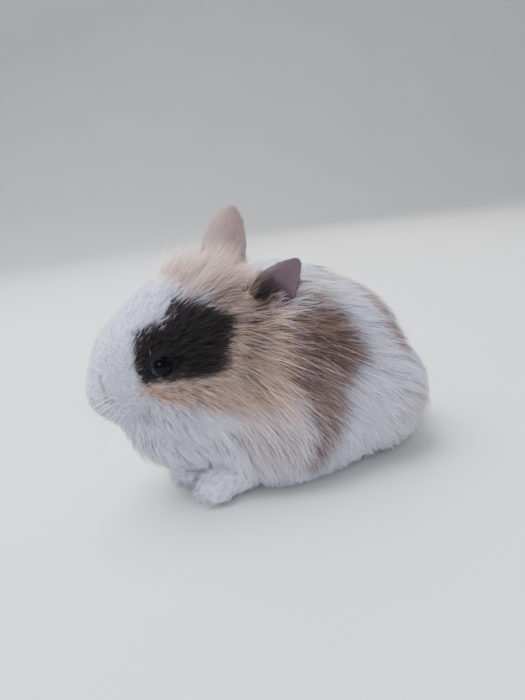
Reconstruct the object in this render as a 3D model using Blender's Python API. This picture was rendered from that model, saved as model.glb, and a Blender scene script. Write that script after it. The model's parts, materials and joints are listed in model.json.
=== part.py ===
"""A dwarf rabbit kit, crouched with its head turned a little to its left, life size and still.

The body is a soft union of ellipsoid masses that reach out to the tips of the coat. Rays from a centre find
its surface, lower where long locks stand on it, and regions part it into named nodes with a thin gap between
them. Shapes are worked out in millimetres and become metres in new_object.
The rabbit faces -X, its left side is -Y, and the floor is at z = 0.
"""

import math

import bmesh
import bpy
import numpy as np
from mathutils import Matrix, Vector

MM = 0.001
GAP = 0.3  # between nodes that touch
BELLY_CLEAR = 1.2  # the coat of the belly stays this far above the floor
BLEND = 3.0  # how softly the masses flow together
SEED = 11

# The head's place and turn in degrees: to the left, nose down, tilted to the left.
HEAD_AT = np.array((-36.0, -4.0, 68.0))
HEAD_YAW, HEAD_PITCH, HEAD_ROLL = 12, 8, 8

# Body masses: centre and radii. Those with a mirror stand on both sides.
BODY_MASSES = {
    "hindquarters": ((30, 0, 43), (41, 36, 40)),
    "ribs": ((8, 0, 52), (40, 37, 43)),
    "shoulders": ((-18, -1, 62), (24, 32, 32)),
    "rump": ((53, 0, 27), (22, 26, 24)),
    "chest": ((-34, -3, 36), (20, 28, 28)),
    "throat": ((-47, -8, 34), (21, 21, 21)),
}
PAIRED_BODY_MASSES = {
    "haunch": ((45, 20, 27), (28, 22, 27)),
    "flank": ((6, 20, 24), (44, 24, 30)),
}
# Head masses, in the head's own axes from its centre: +X towards the rump, +Z up.
HEAD_MASSES = {
    "cranium": ((1, 0, 4), (29, 25.5, 25.5)),
    "face": ((-20, 0, 0), (21, 18.5, 20)),
    "muzzle": ((-31, 0, -7), (13, 13, 12.5)),
    "nose": ((-42, 0, -8), (3.5, 4, 3.5)),
    "chin": ((-26, 0, -19), (12, 9, 8)),
}
PAIRED_HEAD_MASSES = {
    "pad": ((-35, 5, -12.5), (8, 7, 6.5)),
    "cheek": ((-8, 12.5, -13), (21, 17, 18)),
    "ruff": ((-15, 9, -27), (18, 16, 14)),
}
NOSE_TIP = (-44, 0, -8)

# The coat's depth on the face, the crown, the cheeks and the body.
COAT_FACE, COAT_CROWN, COAT_CHEEK, COAT_BODY = 2.0, 5.5, 9.0, 10.0
LOCKED_FROM = 4.5  # a coat shorter than this has no locks
CORE_SHARE = 0.5  # under locks, the part of the coat's depth from the tips down to its core
CORE_EASE = 4.0  # the core comes down to that over this much more depth
# Locks: space between roots, length, width, thickness at the root, and how far the tip stands off.
BODY_LOCK = (14.2, 32.0, 18.5, 2.8, 1.2)
HEAD_LOCK = (10.4, 19.0, 12.5, 2.2, 0.8)
TAIL_LOCK = (7.0, 13.0, 9.0, 2.0, 0.5)
FORELOCK_SPOT, FORELOCK_REACH, FORELOCK_LIFT = (-6, 0, 30), 12.0, 5.0  # place in the head's axes
ROOT_SINK = 2.5  # a lock starts this far under the core
RISEN_AT = 0.45  # the part of its length by which a lock has come up to the tips of the coat
KEEL_SHAPE = np.array([[1.0], [1.0], [0.9], [0.8], [0.2]])  # a keel's depth at each station of its lock
LOCK_STATIONS, TRIAL_STATIONS = 5, 14
SHORTEST = 0.5  # a lock that something stops before this part of its length is left out
LEAST_SLOPE = 0.4  # the least share of the hair's direction that must run along the surface
SWAY = 14  # degrees that a lock may stray from the coat's lie
KEEP_OFF = 2.2  # from a lock's middle to ears, eyes, paws and tail
LOCKS_FROM_FLOOR = 9.0  # no lock grows lower than this
ROOTS_SEEN_FROM = (-8, -1, 56)
BODY_TRIES, TAIL_TRIES = 6000, 600

EYE_AT = (-18.5, 16.4, 1.5)  # the right eye's centre in the head's axes; the left one mirrors it
EYE_RADIUS = 6.5
EYE_AXIS = (-0.25, 0.95, 0.12)
LID_RADIUS = 5.6
LID_THICK = 1.2
LID_OUT = 3.6  # from the eye's centre to the plane of its opening

# Whiskers: length, radius at the root, how deep they start, how far they droop, and the azimuth of their roots
# on the right side. Each has the elevation of its root and its way in the head's axes.
WHISKER = (18.0, 0.3, 1.2, 2.5, 15)
WHISKERS = {
    "left": ((-7, (-0.88, -0.38, -0.1)), (-11, (-0.82, -0.42, -0.35)), (-15, (-0.7, -0.45, -0.6))),
    "right": ((-7, (-0.8, 0.75, 0.1)), (-11, (-0.75, 0.8, -0.15)), (-15, (-0.65, 0.85, -0.4))),
}

EAR_THICK = 1.5
EAR_ROOT_SINK = 9.0
EARS = {  # root, tip, the way the cup faces and half the width
    "ear_left": ((-4, -16, 81), (14.5, -24, 98.5), (-0.3, -1.0, -0.2), 10.5),
    "ear_right": ((-13, 10, 87), (-1.5, 15, 122), (0.15, 1.0, 0.0), 11.5),
}

FOREPAW = (17, 9.5, 9)  # radii
FOREPAWS = {"foreleg_left": (-28, -24.5, 8), "foreleg_right": (-35, -3.5, 8)}
HINDPAW = (25, 8, 6.5)
HINDPAWS = {"hindleg_left": (16, -28, 5.5), "hindleg_right": (16, 28, 5.5)}
TOES = 4
TAIL_AT, TAIL, TAIL_COAT = (75, -1, 20), (9, 9, 11), 6.0

# Where the rays start that find the core, how their grid is drawn out, and its rows and columns.
WHOLE_GRID = ((10, 0, 46), (1.3, 1, 1), 20, 28)
HEAD_GRID = (HEAD_AT, (1.1, 1, 1), 26, 32)
NECK_GRID = ((-20, -2, 62), (1, 1, 1), 16, 26)
EYE_GRID, HAUNCH_GRID, TAIL_GRID = (10, 12), (12, 16), (10, 14)  # rows and columns

# The haunch region that parts a hind leg from the torso.
HAUNCH_AT, HAUNCH = (42, 33, 24), (31, 17, 32)
# The planes behind the head and behind the neck: a point, and the normal towards the rump.
NAPE_PLANE = ((3, 0, 90), (0.85, 0, -0.53))
SHOULDER_PLANE = ((24, 0, 93), (0.85, 0, -0.53))

WHITE = (0.86, 0.85, 0.88)
FAWN = (0.62, 0.47, 0.35)
SKIN_PINK = (0.62, 0.47, 0.43)
EYE_BLACK = (0.01, 0.01, 0.015)


# The shape of the coat

def turned(yaw, pitch, roll):
    """The matrix that carries the head's axes to the rabbit's, from three angles in degrees."""
    about_z = Matrix.Rotation(math.radians(yaw), 3, "Z")
    about_y = Matrix.Rotation(-math.radians(pitch), 3, "Y")
    about_x = Matrix.Rotation(math.radians(roll), 3, "X")
    return np.array(about_z @ about_y @ about_x)


HEAD_TURN = turned(HEAD_YAW, HEAD_PITCH, HEAD_ROLL)


def mirrored(point):
    """The same point on the animal's other side."""
    return (point[0], -point[1], point[2])


def with_pairs(single, paired):
    """All masses as a list of centre and radii, the paired ones on both sides."""
    masses = list(single.values())
    for centre, radii in paired.values():
        masses += [(centre, radii), (mirrored(centre), radii)]
    return masses


BODY = with_pairs(BODY_MASSES, PAIRED_BODY_MASSES)
HEAD = with_pairs(HEAD_MASSES, PAIRED_HEAD_MASSES)


def unit(vectors):
    """The same directions at length one."""
    return vectors / np.maximum(np.linalg.norm(vectors, axis=-1, keepdims=True), 1e-9)


def ellipsoid(points, centre, radii):
    """Roughly the distance from an ellipsoid's surface, negative inside."""
    scaled = (points - np.array(centre, float)) / np.array(radii, float)
    size = np.linalg.norm(scaled, axis=1)
    slope = np.linalg.norm(scaled / np.array(radii, float), axis=1)
    return size * (size - 1) / np.maximum(slope, 1e-9)


def soft_min(distances):
    """The smallest of several distances, rounded where two are close."""
    nearest = distances.min(0)
    return nearest - BLEND * np.log(np.exp((nearest - distances) / BLEND).sum(0))


def into_head(points):
    """Places in the rabbit's axes, given in the head's."""
    return (points - HEAD_AT) @ HEAD_TURN


def from_head(point):
    """A place in the head's axes, given in the rabbit's."""
    return HEAD_AT + HEAD_TURN @ np.array(point, float)


def head_and_body(points):
    """The distances from the head's masses and from the body's."""
    in_head = into_head(points)
    head = soft_min(np.array([ellipsoid(in_head, *mass) for mass in HEAD]))
    body = soft_min(np.array([ellipsoid(points, *mass) for mass in BODY]))
    return head, body


def field(points):
    """Roughly the distance from the tips of the coat, negative inside."""
    return soft_min(np.array(head_and_body(points)))


def head_share(points):
    """One on the head and zero on the body, turning softly where they meet."""
    head, body = head_and_body(points)
    return 1 / (1 + np.exp(np.clip((head - body) / BLEND, -40, 40)))


def coat(points):
    """The coat's depth: shortest at the muzzle, deeper towards the crown and cheeks, deepest on the body."""
    in_head = into_head(points)
    back = np.clip((in_head[:, 0] + 26) / 24, 0, 1)
    low = np.clip((5 - in_head[:, 2]) / 20, 0, 1)
    on_head = COAT_FACE + back * (COAT_CROWN - COAT_FACE + (COAT_CHEEK - COAT_CROWN) * low)
    share = head_share(points)
    return on_head * share + COAT_BODY * (1 - share)


def core(points):
    """Roughly the distance from the core of the coat."""
    depth = coat(points)
    return field(points) + CORE_SHARE * depth * np.clip((depth - LOCKED_FROM) / CORE_EASE, 0, 1)


def outward(points, shape=field):
    """The surface's normals, from small differences of its distance."""
    step = 0.5
    sides = [shape(points + step * axis) - shape(points - step * axis) for axis in np.eye(3)]
    return unit(np.stack(sides, 1))


def lie(points):
    """The way the hair points: away from the nose on the head, down the cheeks, back and down on the body."""
    in_head = into_head(points)
    on_head = unit(in_head - np.array(NOSE_TIP, float))
    on_head[:, 2] -= np.clip((-5 - in_head[:, 2]) / 18, 0, 1.3)
    share = head_share(points)[:, None]
    fall = 10 + 62 * np.clip((85 - points[:, 2]) / 70, 0, 1)
    fall = np.radians(fall * (1 - 0.35 * np.clip((points[:, 0] - 20) / 50, 0, 1)))
    on_body = np.stack([np.cos(fall), 0 * fall, -np.sin(fall)], 1)
    return unit(unit(on_head) @ HEAD_TURN.T * share + on_body * (1 - share))


def tail_shape(points):
    """Roughly the distance from the tips of the tail's coat."""
    return ellipsoid(points, TAIL_AT, TAIL)


def tail_lie(points):
    """The tail's hair points up and back."""
    return unit(np.array((0.5, 0.0, 1.0)) + 0 * points)


# Meshes

def along_rays(centre, directions, shape, reach=120.0):
    """Where rays from the centre leave the shape, found by halving."""
    near = np.zeros(len(directions))
    far = np.full(len(directions), reach)
    for _ in range(26):
        middle = (near + far) / 2
        inside = shape(centre + directions * middle[:, None]) < 0
        near = np.where(inside, middle, near)
        far = np.where(inside, far, middle)
    return centre + directions * near[:, None]


def ball_directions(axes, stretch, rows, columns):
    """Unit directions on a ball's grid, its pole on the first axis, drawn out by the stretch."""
    down = np.linspace(0, math.pi, rows + 1)[1:-1, None]
    around = np.linspace(0, 2 * math.pi, columns, endpoint=False)[None]
    parts = (np.cos(down) + 0 * around, np.sin(down) * np.cos(around), np.sin(down) * np.sin(around))
    grid = np.stack([part.ravel() * s for part, s in zip(parts, stretch)], 1)
    return unit(np.concatenate([[[stretch[0], 0, 0]], grid, [[-stretch[0], 0, 0]]]) @ axes)


def ball_faces(rows, columns):
    """Faces of a ball's grid: a fan at each pole and quads between."""
    last = (rows - 1) * columns + 1
    faces = []
    for c in range(columns):
        d = (c + 1) % columns
        faces.append((0, 1 + c, 1 + d))
        faces.append((last, last - columns + d, last - columns + c))
        for r in range(rows - 2):
            a, b = 1 + r * columns, 1 + (r + 1) * columns
            faces.append((a + c, b + c, b + d, a + d))
    return faces


def ball_points(centre, radii, rows, columns, grown=0.0):
    """The points of an ellipsoid's grid."""
    directions = ball_directions(np.eye(3), (1, 1, 1), rows, columns)
    return np.array(centre, float) + directions * (np.array(radii, float) + grown)


def new_object(name, points, faces, colour=WHITE, roughness=0.9):
    """An object from points in millimetres, closed, with its faces pointing out."""
    mesh = bpy.data.meshes.new(name)
    mesh.from_pydata([tuple(point) for point in np.asarray(points) * MM], [], faces)
    shaped = bmesh.new()
    shaped.from_mesh(mesh)
    bmesh.ops.triangulate(shaped, faces=shaped.faces[:])
    bmesh.ops.recalc_face_normals(shaped, faces=shaped.faces[:])
    shaped.to_mesh(mesh)
    shaped.free()
    obj = bpy.data.objects.new(name, mesh)
    bpy.context.scene.collection.objects.link(obj)
    paint(obj, name, colour, roughness)
    return obj


def paint(obj, name, colour, roughness):
    """Gives the object its own material."""
    material = bpy.data.materials.new(name)
    material.use_nodes = True
    surface = material.node_tree.nodes["Principled BSDF"]
    surface.inputs["Base Color"].default_value = (*colour, 1)
    surface.inputs["Roughness"].default_value = roughness
    obj.data.materials.clear()
    obj.data.materials.append(material)


def star(name, axes, centre, stretch, rows, columns, **look):
    """The core's surface, with one point along each ray of a ball's grid."""
    points = along_rays(np.array(centre, float), ball_directions(axes, stretch, rows, columns), core)
    points[:, 2] = np.maximum(points[:, 2], BELLY_CLEAR)
    return new_object(name, points, ball_faces(rows, columns), **look)


def ball(name, centre, radii, rows=8, columns=12, grown=0.0, **look):
    """An ellipsoid, grown all round where it serves as a cutter."""
    points = ball_points(centre, radii, rows, columns, grown)
    return new_object(name, points, ball_faces(rows, columns), **look)


def beyond(name, plane, shift=0.0, flipped=False):
    """A box that fills the space past a plane, starting a shift along its normal."""
    point, normal = (Vector(value) for value in plane)
    normal = normal.normalized() * (-1 if flipped else 1)
    size = 400
    turn = normal.to_track_quat("Z", "Y").to_matrix()
    corners = [
        turn @ Vector((x * size, y * size, z * size)) + point + normal * shift
        for z in (0, 1)
        for y in (-1, 1)
        for x in (-1, 1)
    ]
    faces = [(0, 1, 3, 2), (4, 5, 7, 6), (0, 1, 5, 4), (2, 3, 7, 6), (0, 2, 6, 4), (1, 3, 7, 5)]
    return new_object(name, np.array(corners), faces)


def applied(obj):
    """Makes what the object's modifiers show its own mesh."""
    graph = bpy.context.evaluated_depsgraph_get()
    mesh = bpy.data.meshes.new_from_object(obj.evaluated_get(graph))
    obj.modifiers.clear()
    obj.data = mesh


def boolean(obj, other, operation):
    """Joins, cuts or crosses the object with another, which is then removed."""
    cut = obj.modifiers.new(operation, "BOOLEAN")
    cut.operation = operation
    cut.object = other
    applied(obj)
    bpy.data.objects.remove(other)
    return obj


def fuse(obj, pieces):
    """Joins many pieces to the object in one union, which then replaces them."""
    gathered = bpy.data.collections.new("pieces")
    bpy.context.scene.collection.children.link(gathered)
    for piece in pieces:
        gathered.objects.link(piece)
    union = obj.modifiers.new("fuse", "BOOLEAN")
    union.operation = "UNION"
    union.operand_type = "COLLECTION"
    union.collection = gathered
    applied(obj)
    for piece in pieces:
        bpy.data.objects.remove(piece)
    bpy.data.collections.remove(gathered)
    return obj


def keep_largest(obj):
    """Drops every loose scrap but the surface with the largest volume."""
    mesh = bmesh.new()
    mesh.from_mesh(obj.data)
    bmesh.ops.triangulate(mesh, faces=mesh.faces[:])
    unseen, shells = set(mesh.faces), []
    while unseen:
        shell, rim = [], [unseen.pop()]
        while rim:
            face = rim.pop()
            shell.append(face)
            near = {other for edge in face.edges for other in edge.link_faces} & unseen
            unseen -= near
            rim += near
        shells.append(shell)

    def volume(shell):
        return abs(sum(f.verts[0].co.dot(f.verts[1].co.cross(f.verts[2].co)) for f in shell))

    shells.sort(key=volume)
    bmesh.ops.delete(mesh, geom=[face for shell in shells[:-1] for face in shell], context="FACES")
    mesh.to_mesh(obj.data)
    mesh.free()


def copied(obj, name, colour):
    """The same shape under another name and colour."""
    twin = bpy.data.objects.new(name, obj.data.copy())
    bpy.context.scene.collection.objects.link(twin)
    paint(twin, name, colour, 0.9)
    return twin


# Ears, paws and the face

def leaf_points(ear, rows, columns, grown=0.0):
    """An ear: a thin crescent across its length, widest low down, with its edges curled to one side."""
    root, tip, facing = (np.array(value, float) for value in ear[:3])
    length = np.linalg.norm(tip - root)
    along = unit(tip - root)
    facing = unit(facing - along * (facing @ along))
    side = np.cross(along, facing)
    share = np.sin(math.pi / 2 * np.linspace(0, 1, rows + 1))
    up = share * (length + EAR_ROOT_SINK + grown) - EAR_ROOT_SINK
    half = (ear[3] + grown) * np.clip(np.sin(math.pi * (0.1 + 0.9 * share)), 0, 1) ** 0.6
    turn = np.linspace(0, 2 * math.pi, columns, endpoint=False)
    curl = (0.75 - 0.4 * share)[:, None] * half[:, None] * np.cos(turn) ** 2
    thick = (EAR_THICK + grown) * np.minimum(1, half / 3)[:, None] * np.sin(turn)
    points = (
        root
        + along * up[:, None, None]
        + side * (half[:, None] * np.cos(turn))[..., None]
        + facing * (curl + thick)[..., None]
    )
    ends = [root + along * (up[0] - grown) + facing * curl[0].mean(), root + along * up[-1]]
    return np.concatenate([ends[:1], points[:-1].reshape(-1, 3), ends[1:]])


def leaf(name, ear, grown=0.0, rows=10, columns=12, **look):
    """An ear as an object."""
    points = leaf_points(ear, rows, columns, grown)
    return new_object(name, points, ball_faces(rows + 1, columns), **look)


def toe_balls(centre, radii):
    """The centre and radii of each toe in the row at a paw's front."""
    across = radii[1] * 1.5
    toes = []
    for i in range(TOES):
        share = i / (TOES - 1) - 0.5
        reach = radii[0] * (0.62 - 0.5 * share * share)
        at = (centre[0] - reach, centre[1] + across * share, centre[2] - radii[2] * 0.25)
        toes.append((at, (radii[0] * 0.45, radii[1] * 0.3, radii[2] * 0.62)))
    return toes


def paw(name, centre, radii, grown=0.0, **look):
    """A paw: an oval with a row of toes at its front."""
    foot = ball(name, centre, radii, grown=grown, **look)
    return fuse(foot, [ball("toe", at, size, 5, 7, grown) for at, size in toe_balls(centre, radii)])


def flat_below(obj):
    """Cuts the object flat where it stands on the floor."""
    return boolean(obj, beyond("floor_cut", ((0, 0, 0), (0, 0, -1))), "DIFFERENCE")


def groove(name, angles, width, depth):
    """A cutter for a line in the face: a thin wall on rays at the azimuths and elevations in degrees."""
    a, e = np.radians(np.array(angles)).T
    rays = np.stack([-np.cos(a) * np.cos(e), np.sin(a) * np.cos(e), np.sin(e)], 1) @ HEAD_TURN.T
    skin = along_rays(HEAD_AT, rays, core)
    across = unit(np.cross(rays, np.gradient(skin, axis=0))) * width / 2
    inner, outer = skin - rays * depth, skin + rays * depth
    rings = np.stack([inner - across, inner + across, outer + across, outer - across], 1)
    count = len(rings)
    faces = [(0, 1, 2, 3), tuple(4 * (count - 1) + k for k in (3, 2, 1, 0))]
    for i in range(count - 1):
        for k in range(4):
            j = (k + 1) % 4
            faces.append((4 * i + k, 4 * i + 4 + k, 4 * i + 4 + j, 4 * i + j))
    return new_object(name, rings.reshape(-1, 3), faces)


def lid_ring(at, axis, around=16, section=5):
    """The lids of one eye, a soft ring round its opening, longer than it is high."""
    axis = Vector(axis).normalized()
    forward = (Vector((-1, 0, 0)) - axis * Vector((-1, 0, 0)).dot(axis)).normalized()
    up = forward.cross(axis)
    centre = Vector(at) + axis * LID_OUT
    points, faces = [], []
    for i in range(around):
        turn = 2 * math.pi * i / around
        out = forward * math.cos(turn) * 1.15 + up * math.sin(turn) * 0.88
        for k in range(section):
            bend = 2 * math.pi * k / section
            radius = LID_RADIUS + LID_THICK * math.cos(bend)
            points.append(from_head(centre + out * radius + axis * LID_THICK * math.sin(bend)))
            a, b = (i + 1) % around, (k + 1) % section
            faces.append((i * section + k, a * section + k, a * section + b, i * section + b))
    return new_object("lids", points, faces)


def both(point):
    """A place or direction of the right side, and its mirror on the left."""
    return {"left": mirrored(point), "right": point}


def cut_face(head):
    """Cuts nostrils, the split of the upper lip and the mouth into the head."""
    for side in (-1, 1):
        slit = [(side * (2 + 4 * t), -10.5 + 3.5 * t) for t in np.linspace(0, 1, 4)]
        boolean(head, groove("nostril", slit, 1.2, 2.0), "DIFFERENCE")
    boolean(head, groove("split_lip", [(0, e) for e in np.linspace(-12, -21, 5)], 0.7, 1.2), "DIFFERENCE")
    mouth = [(15 * t, -21 - 7 * t * t) for t in np.linspace(-1, 1, 11)]
    boolean(head, groove("mouth", mouth, 0.9, 2.0), "DIFFERENCE")


def whisker(azimuth, elevation, way):
    """One whisker: three-sided, drawn to a point and drooping, from the pad beside the nose."""
    length, radius, sink, droop, _ = WHISKER
    a, e = math.radians(azimuth), math.radians(elevation)
    ray = HEAD_TURN @ np.array((-math.cos(a) * math.cos(e), math.sin(a) * math.cos(e), math.sin(e)))
    way = HEAD_TURN @ unit(np.array(way))
    root = along_rays(HEAD_AT, ray[None], core)[0] - way * sink
    side = unit(np.cross(way, (0, 0, 1)))
    up = np.cross(side, way)
    share = np.linspace(0, 1, 4)[:, None]
    middle = root + way * length * share - up * droop * share**2
    thick = radius * (1 - 0.6 * share[:-1])[:, None]
    turn = np.radians((90, 210, 330))[:, None]
    rings = middle[:-1, None] + thick * (side * np.cos(turn) + up * np.sin(turn))
    faces = [(2, 1, 0)] + [(6 + k, 6 + (k + 1) % 3, 9) for k in range(3)]
    for i in (0, 3):
        for k in range(3):
            j = (k + 1) % 3
            faces.append((i + k, i + j, i + 3 + j, i + 3 + k))
    return new_object("whisker", np.concatenate([rings.reshape(-1, 3), middle[-1:]]), faces)


# Regions and locks

def past(points, plane):
    """How far the points lie past a plane."""
    return (points - np.array(plane[0], float)) @ unit(np.array(plane[1], float))


def depth_in_regions(points):
    """How far inside each node's region the points lie, negative outside."""
    nape, shoulder = past(points, NAPE_PLANE), past(points, SHOULDER_PLANE)
    left = -ellipsoid(points, mirrored(HAUNCH_AT), HAUNCH)
    right = -ellipsoid(points, HAUNCH_AT, HAUNCH)
    return {
        "head": -nape,
        "neck": np.minimum(nape, -shoulder),
        "hindleg_left": left,
        "hindleg_right": right,
        "torso": np.minimum(shoulder, -np.maximum(left, right)),
    }


def obstacles():
    """Points of what the coat's locks keep clear of: ears, eyes, paws and tail."""
    pieces = [leaf_points(ear, 14, 16) for ear in EARS.values()]
    pieces += [ball_points(from_head(at), (EYE_RADIUS + 2.5,) * 3, 8, 12) for at in both(EYE_AT).values()]
    pieces += [ball_points(at, FOREPAW, 10, 14) for at in FOREPAWS.values()]
    pieces += [ball_points(TAIL_AT, TAIL, 10, 14)]
    return np.concatenate(pieces)


def room(points, off):
    """How far points are clear of the points they keep off, negative where too close."""
    return np.linalg.norm(points[:, None] - off[None], axis=2).min(1) - KEEP_OFF


def even_roots(centre, shape, spaces, draw, tries):
    """Points spread evenly on a surface: the loneliest by its own space is kept, until none stands alone."""
    points = along_rays(np.array(centre, float), unit(draw.normal(size=(tries, 3))), shape)
    space = spaces(points)
    points, space = points[space > 0], space[space > 0]
    kept = [0]
    lonely = np.linalg.norm(points - points[0], axis=1) / space
    while lonely.max() > 1:
        kept.append(lonely.argmax())
        lonely = np.minimum(lonely, np.linalg.norm(points - points[kept[-1]], axis=1) / space)
    return points[kept]


def lock_paths(roots, lengths, lifts, sink, sway, shape, flow, steps):
    """Stations of each lock: it rises out of the core, follows the lie of the coat and lifts at its tip.

    With each station come the surface's normal and how much of the hair's direction runs along the surface.
    """
    at = roots.copy()
    paths, normals, slopes = [], [], []
    for step in range(steps + 1):
        share = step / steps
        level = lifts * share**2 - sunk(share, sink)
        for _ in range(2):
            normal = outward(at, shape)
            at = at + normal * (level - shape(at))[:, None]
        at[:, 2] = np.maximum(at[:, 2], BELLY_CLEAR + 1)
        paths.append(at)
        normals.append(normal)
        way = flow(at)
        way = way - normal * (way * normal).sum(1, keepdims=True)
        slopes.append(np.linalg.norm(way, axis=1))
        way = unit(way)
        way = way * np.cos(sway)[:, None] + np.cross(normal, way) * np.sin(sway)[:, None]
        at = at + way * (lengths / steps)[:, None]
    return np.stack(paths, 1), np.stack(normals, 1), np.stack(slopes, 1)


def sunk(share, sink):
    """How far below the tips of the coat a lock's middle lies at a share of its length."""
    return sink * np.maximum(0, 1 - share / RISEN_AT) ** 1.2


def lock_mesh(path, normals, width, thick, keel):
    """One lock: flat below, ridged above, widest before its middle, with a thin free point.

    One that passes from a node to the next also has a keel, so that it holds to the core on both sides.
    """
    steps = len(path) - 1
    way = unit(np.gradient(path, axis=0))
    side = unit(np.cross(way, normals))[:-1]
    up = np.cross(side, way[:-1])
    share = np.arange(steps)[:, None] / steps
    half = width / 2 * np.minimum(1, 0.3 + 1.6 * share) * (1 - share**1.6)
    rise = thick * (1 - 0.7 * share)
    under = path[:-1] - up * rise / 2
    corners = [under - side * half, under + side * half, under + up * rise]
    if keel > 0:
        corners.insert(1, under - up * np.maximum(0, keel * KEEL_SHAPE - sunk(share, keel)))
    count = len(corners)
    rings = np.stack(corners, 1)
    above = rings[..., 2] - BELLY_CLEAR - 1
    rings[..., 2] = BELLY_CLEAR + np.where(above > 0, 1 + above, np.exp(above / 3))  # never quite flat
    points = np.concatenate([rings.reshape(-1, 3), path[-1:]])
    faces = [tuple(reversed(range(count)))]
    for i in range(steps - 1):
        for k in range(count):
            j = (k + 1) % count
            faces.append((count * i + k, count * i + j, count * (i + 1) + j, count * (i + 1) + k))
    last = count * (steps - 1)
    faces += [(last + k, last + (k + 1) % count, len(points) - 1) for k in range(count)]
    return points, faces


def crosses(path):
    """Whether a lock's path passes through the regions of more than one node."""
    return sum(depth.max() > 0 for depth in depth_in_regions(path).values()) > 1


def locks_from(roots, sizes, draw, shape, flow, depth, off):
    """Locks that grow from the roots, as points and faces.

    Each ends short of the points it keeps off, and where the hair would point straight out or in.
    """
    _, length, width, thick, lift = sizes.T
    length = length * draw.uniform(0.85, 1.15, len(roots))
    sway = np.radians(draw.uniform(-SWAY, SWAY, len(roots)))
    sink = depth * CORE_SHARE + ROOT_SINK
    trial, _, slopes = lock_paths(roots, length, lift, sink, sway, shape, flow, TRIAL_STATIONS)
    free = slopes > LEAST_SLOPE
    if off is not None:
        free &= np.array([room(path, off) for path in trial]) > 0
    reach = np.where(free.all(1), 1.0, (np.argmin(free, 1) - 1) / TRIAL_STATIONS)
    kept = reach > SHORTEST
    width, thick = width * reach, thick * reach
    roots, length, lift, sink, sway = (v[kept] for v in (roots, length * reach, lift, sink, sway))
    paths, normals, _ = lock_paths(roots, length, lift, sink, sway, shape, flow, LOCK_STATIONS)
    keel = np.array([crosses(path) for path in paths]) * sink
    return [lock_mesh(*lock) for lock in zip(paths, normals, width[kept], thick[kept], keel)]


def coat_locks(draw):
    """The locks of the head and of the body, smaller on the head and raised in the forelock."""
    def sizes(points):
        share = head_share(points)[:, None]
        return np.array(HEAD_LOCK) * share + np.array(BODY_LOCK) * (1 - share)

    def spaces(points):
        locked = (coat(points) > LOCKED_FROM) & (points[:, 2] > LOCKS_FROM_FLOOR) & (room(points, off) > 0)
        return np.where(locked, sizes(points)[:, 0], 0)

    off = obstacles()
    roots = even_roots(ROOTS_SEEN_FROM, field, spaces, draw, BODY_TRIES)
    size = sizes(roots) * draw.uniform(0.9, 1.1, (len(roots), 1))
    crown = np.linalg.norm(into_head(roots) - np.array(FORELOCK_SPOT, float), axis=1) < FORELOCK_REACH
    size[crown, 4] = FORELOCK_LIFT
    return locks_from(roots, size, draw, field, lie, coat(roots), off)


def wear(obj, locks, region=None):
    """Fuses to a node all the locks that pass through its region."""
    worn = []
    for points, faces in locks:
        if region is None or depth_in_regions(points)[region].max() > 0:
            worn.append(new_object("lock", points, faces))
    return fuse(obj, worn)


# The rabbit

def build():
    """Makes every node and gathers them under one empty whose place centres the rabbit."""
    upright = np.eye(3)
    to_nose = (HEAD_TURN @ np.diag([-1, 1, 1])).T
    whole = star("whole", upright, *WHOLE_GRID)
    head = star("head", to_nose, *HEAD_GRID)
    neck = star("neck", upright, *NECK_GRID, colour=FAWN)
    torso = copied(whole, "torso", WHITE)
    legs = {}
    for name, at in HINDPAWS.items():
        centre = (HAUNCH_AT[0], math.copysign(HAUNCH_AT[1], at[1]), HAUNCH_AT[2])
        legs[name] = (copied(whole, name, WHITE), centre, at)
    bpy.data.objects.remove(whole)

    draw = np.random.default_rng(SEED)
    locks = coat_locks(draw)
    for node in (head, neck, torso, *(leg for leg, _, _ in legs.values())):
        wear(node, locks, node.name)

    axes = both(EYE_AXIS)
    for side, at in both(EYE_AT).items():
        boolean(head, lid_ring(at, axes[side]), "UNION")
    cut_face(head)
    for side, hairs in WHISKERS.items():
        azimuth = math.copysign(WHISKER[4], axes[side][1])
        fuse(head, [whisker(azimuth, elevation, way) for elevation, way in hairs])
    boolean(head, beyond("behind_head", NAPE_PLANE, -GAP / 2), "DIFFERENCE")
    boolean(neck, beyond("before_neck", NAPE_PLANE, -GAP / 2, flipped=True), "DIFFERENCE")
    boolean(neck, beyond("behind_neck", SHOULDER_PLANE, -GAP / 2), "DIFFERENCE")
    boolean(torso, beyond("before_torso", SHOULDER_PLANE, -GAP / 2, flipped=True), "DIFFERENCE")

    nodes = [head, neck, torso]
    for name, ear in EARS.items():
        nodes.append(leaf(name, ear, colour=SKIN_PINK))
        for other in (head, neck, torso):
            boolean(other, leaf("ear_cut", ear, GAP), "DIFFERENCE")
    for side, at in both(EYE_AT).items():
        eye = (from_head(at), (EYE_RADIUS,) * 3, *EYE_GRID)
        nodes.append(ball(f"eye_{side}", *eye, colour=EYE_BLACK, roughness=0.05))
        boolean(head, ball("eye_cut", *eye, GAP), "DIFFERENCE")
    for name, at in FOREPAWS.items():
        nodes.append(flat_below(paw(name, at, FOREPAW)))
        for other in (torso, neck, head):
            boolean(other, paw("paw_cut", at, FOREPAW, GAP), "DIFFERENCE")
    for leg, centre, at in legs.values():
        boolean(leg, ball("haunch", centre, HAUNCH, *HAUNCH_GRID), "INTERSECT")
        boolean(leg, paw("foot", at, HINDPAW), "UNION")
        nodes.append(flat_below(leg))
        boolean(torso, ball("haunch_cut", centre, HAUNCH, *HAUNCH_GRID, GAP), "DIFFERENCE")
        boolean(torso, paw("foot_cut", at, HINDPAW, GAP), "DIFFERENCE")
    nodes.append(tail(draw))
    boolean(torso, ball("tail_cut", TAIL_AT, TAIL, *TAIL_GRID, GAP), "DIFFERENCE")

    for node in nodes:
        keep_largest(node)
        node.data.shade_smooth()
        node.data.set_sharp_from_angle(angle=math.radians(50))
    gather(nodes)


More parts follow.
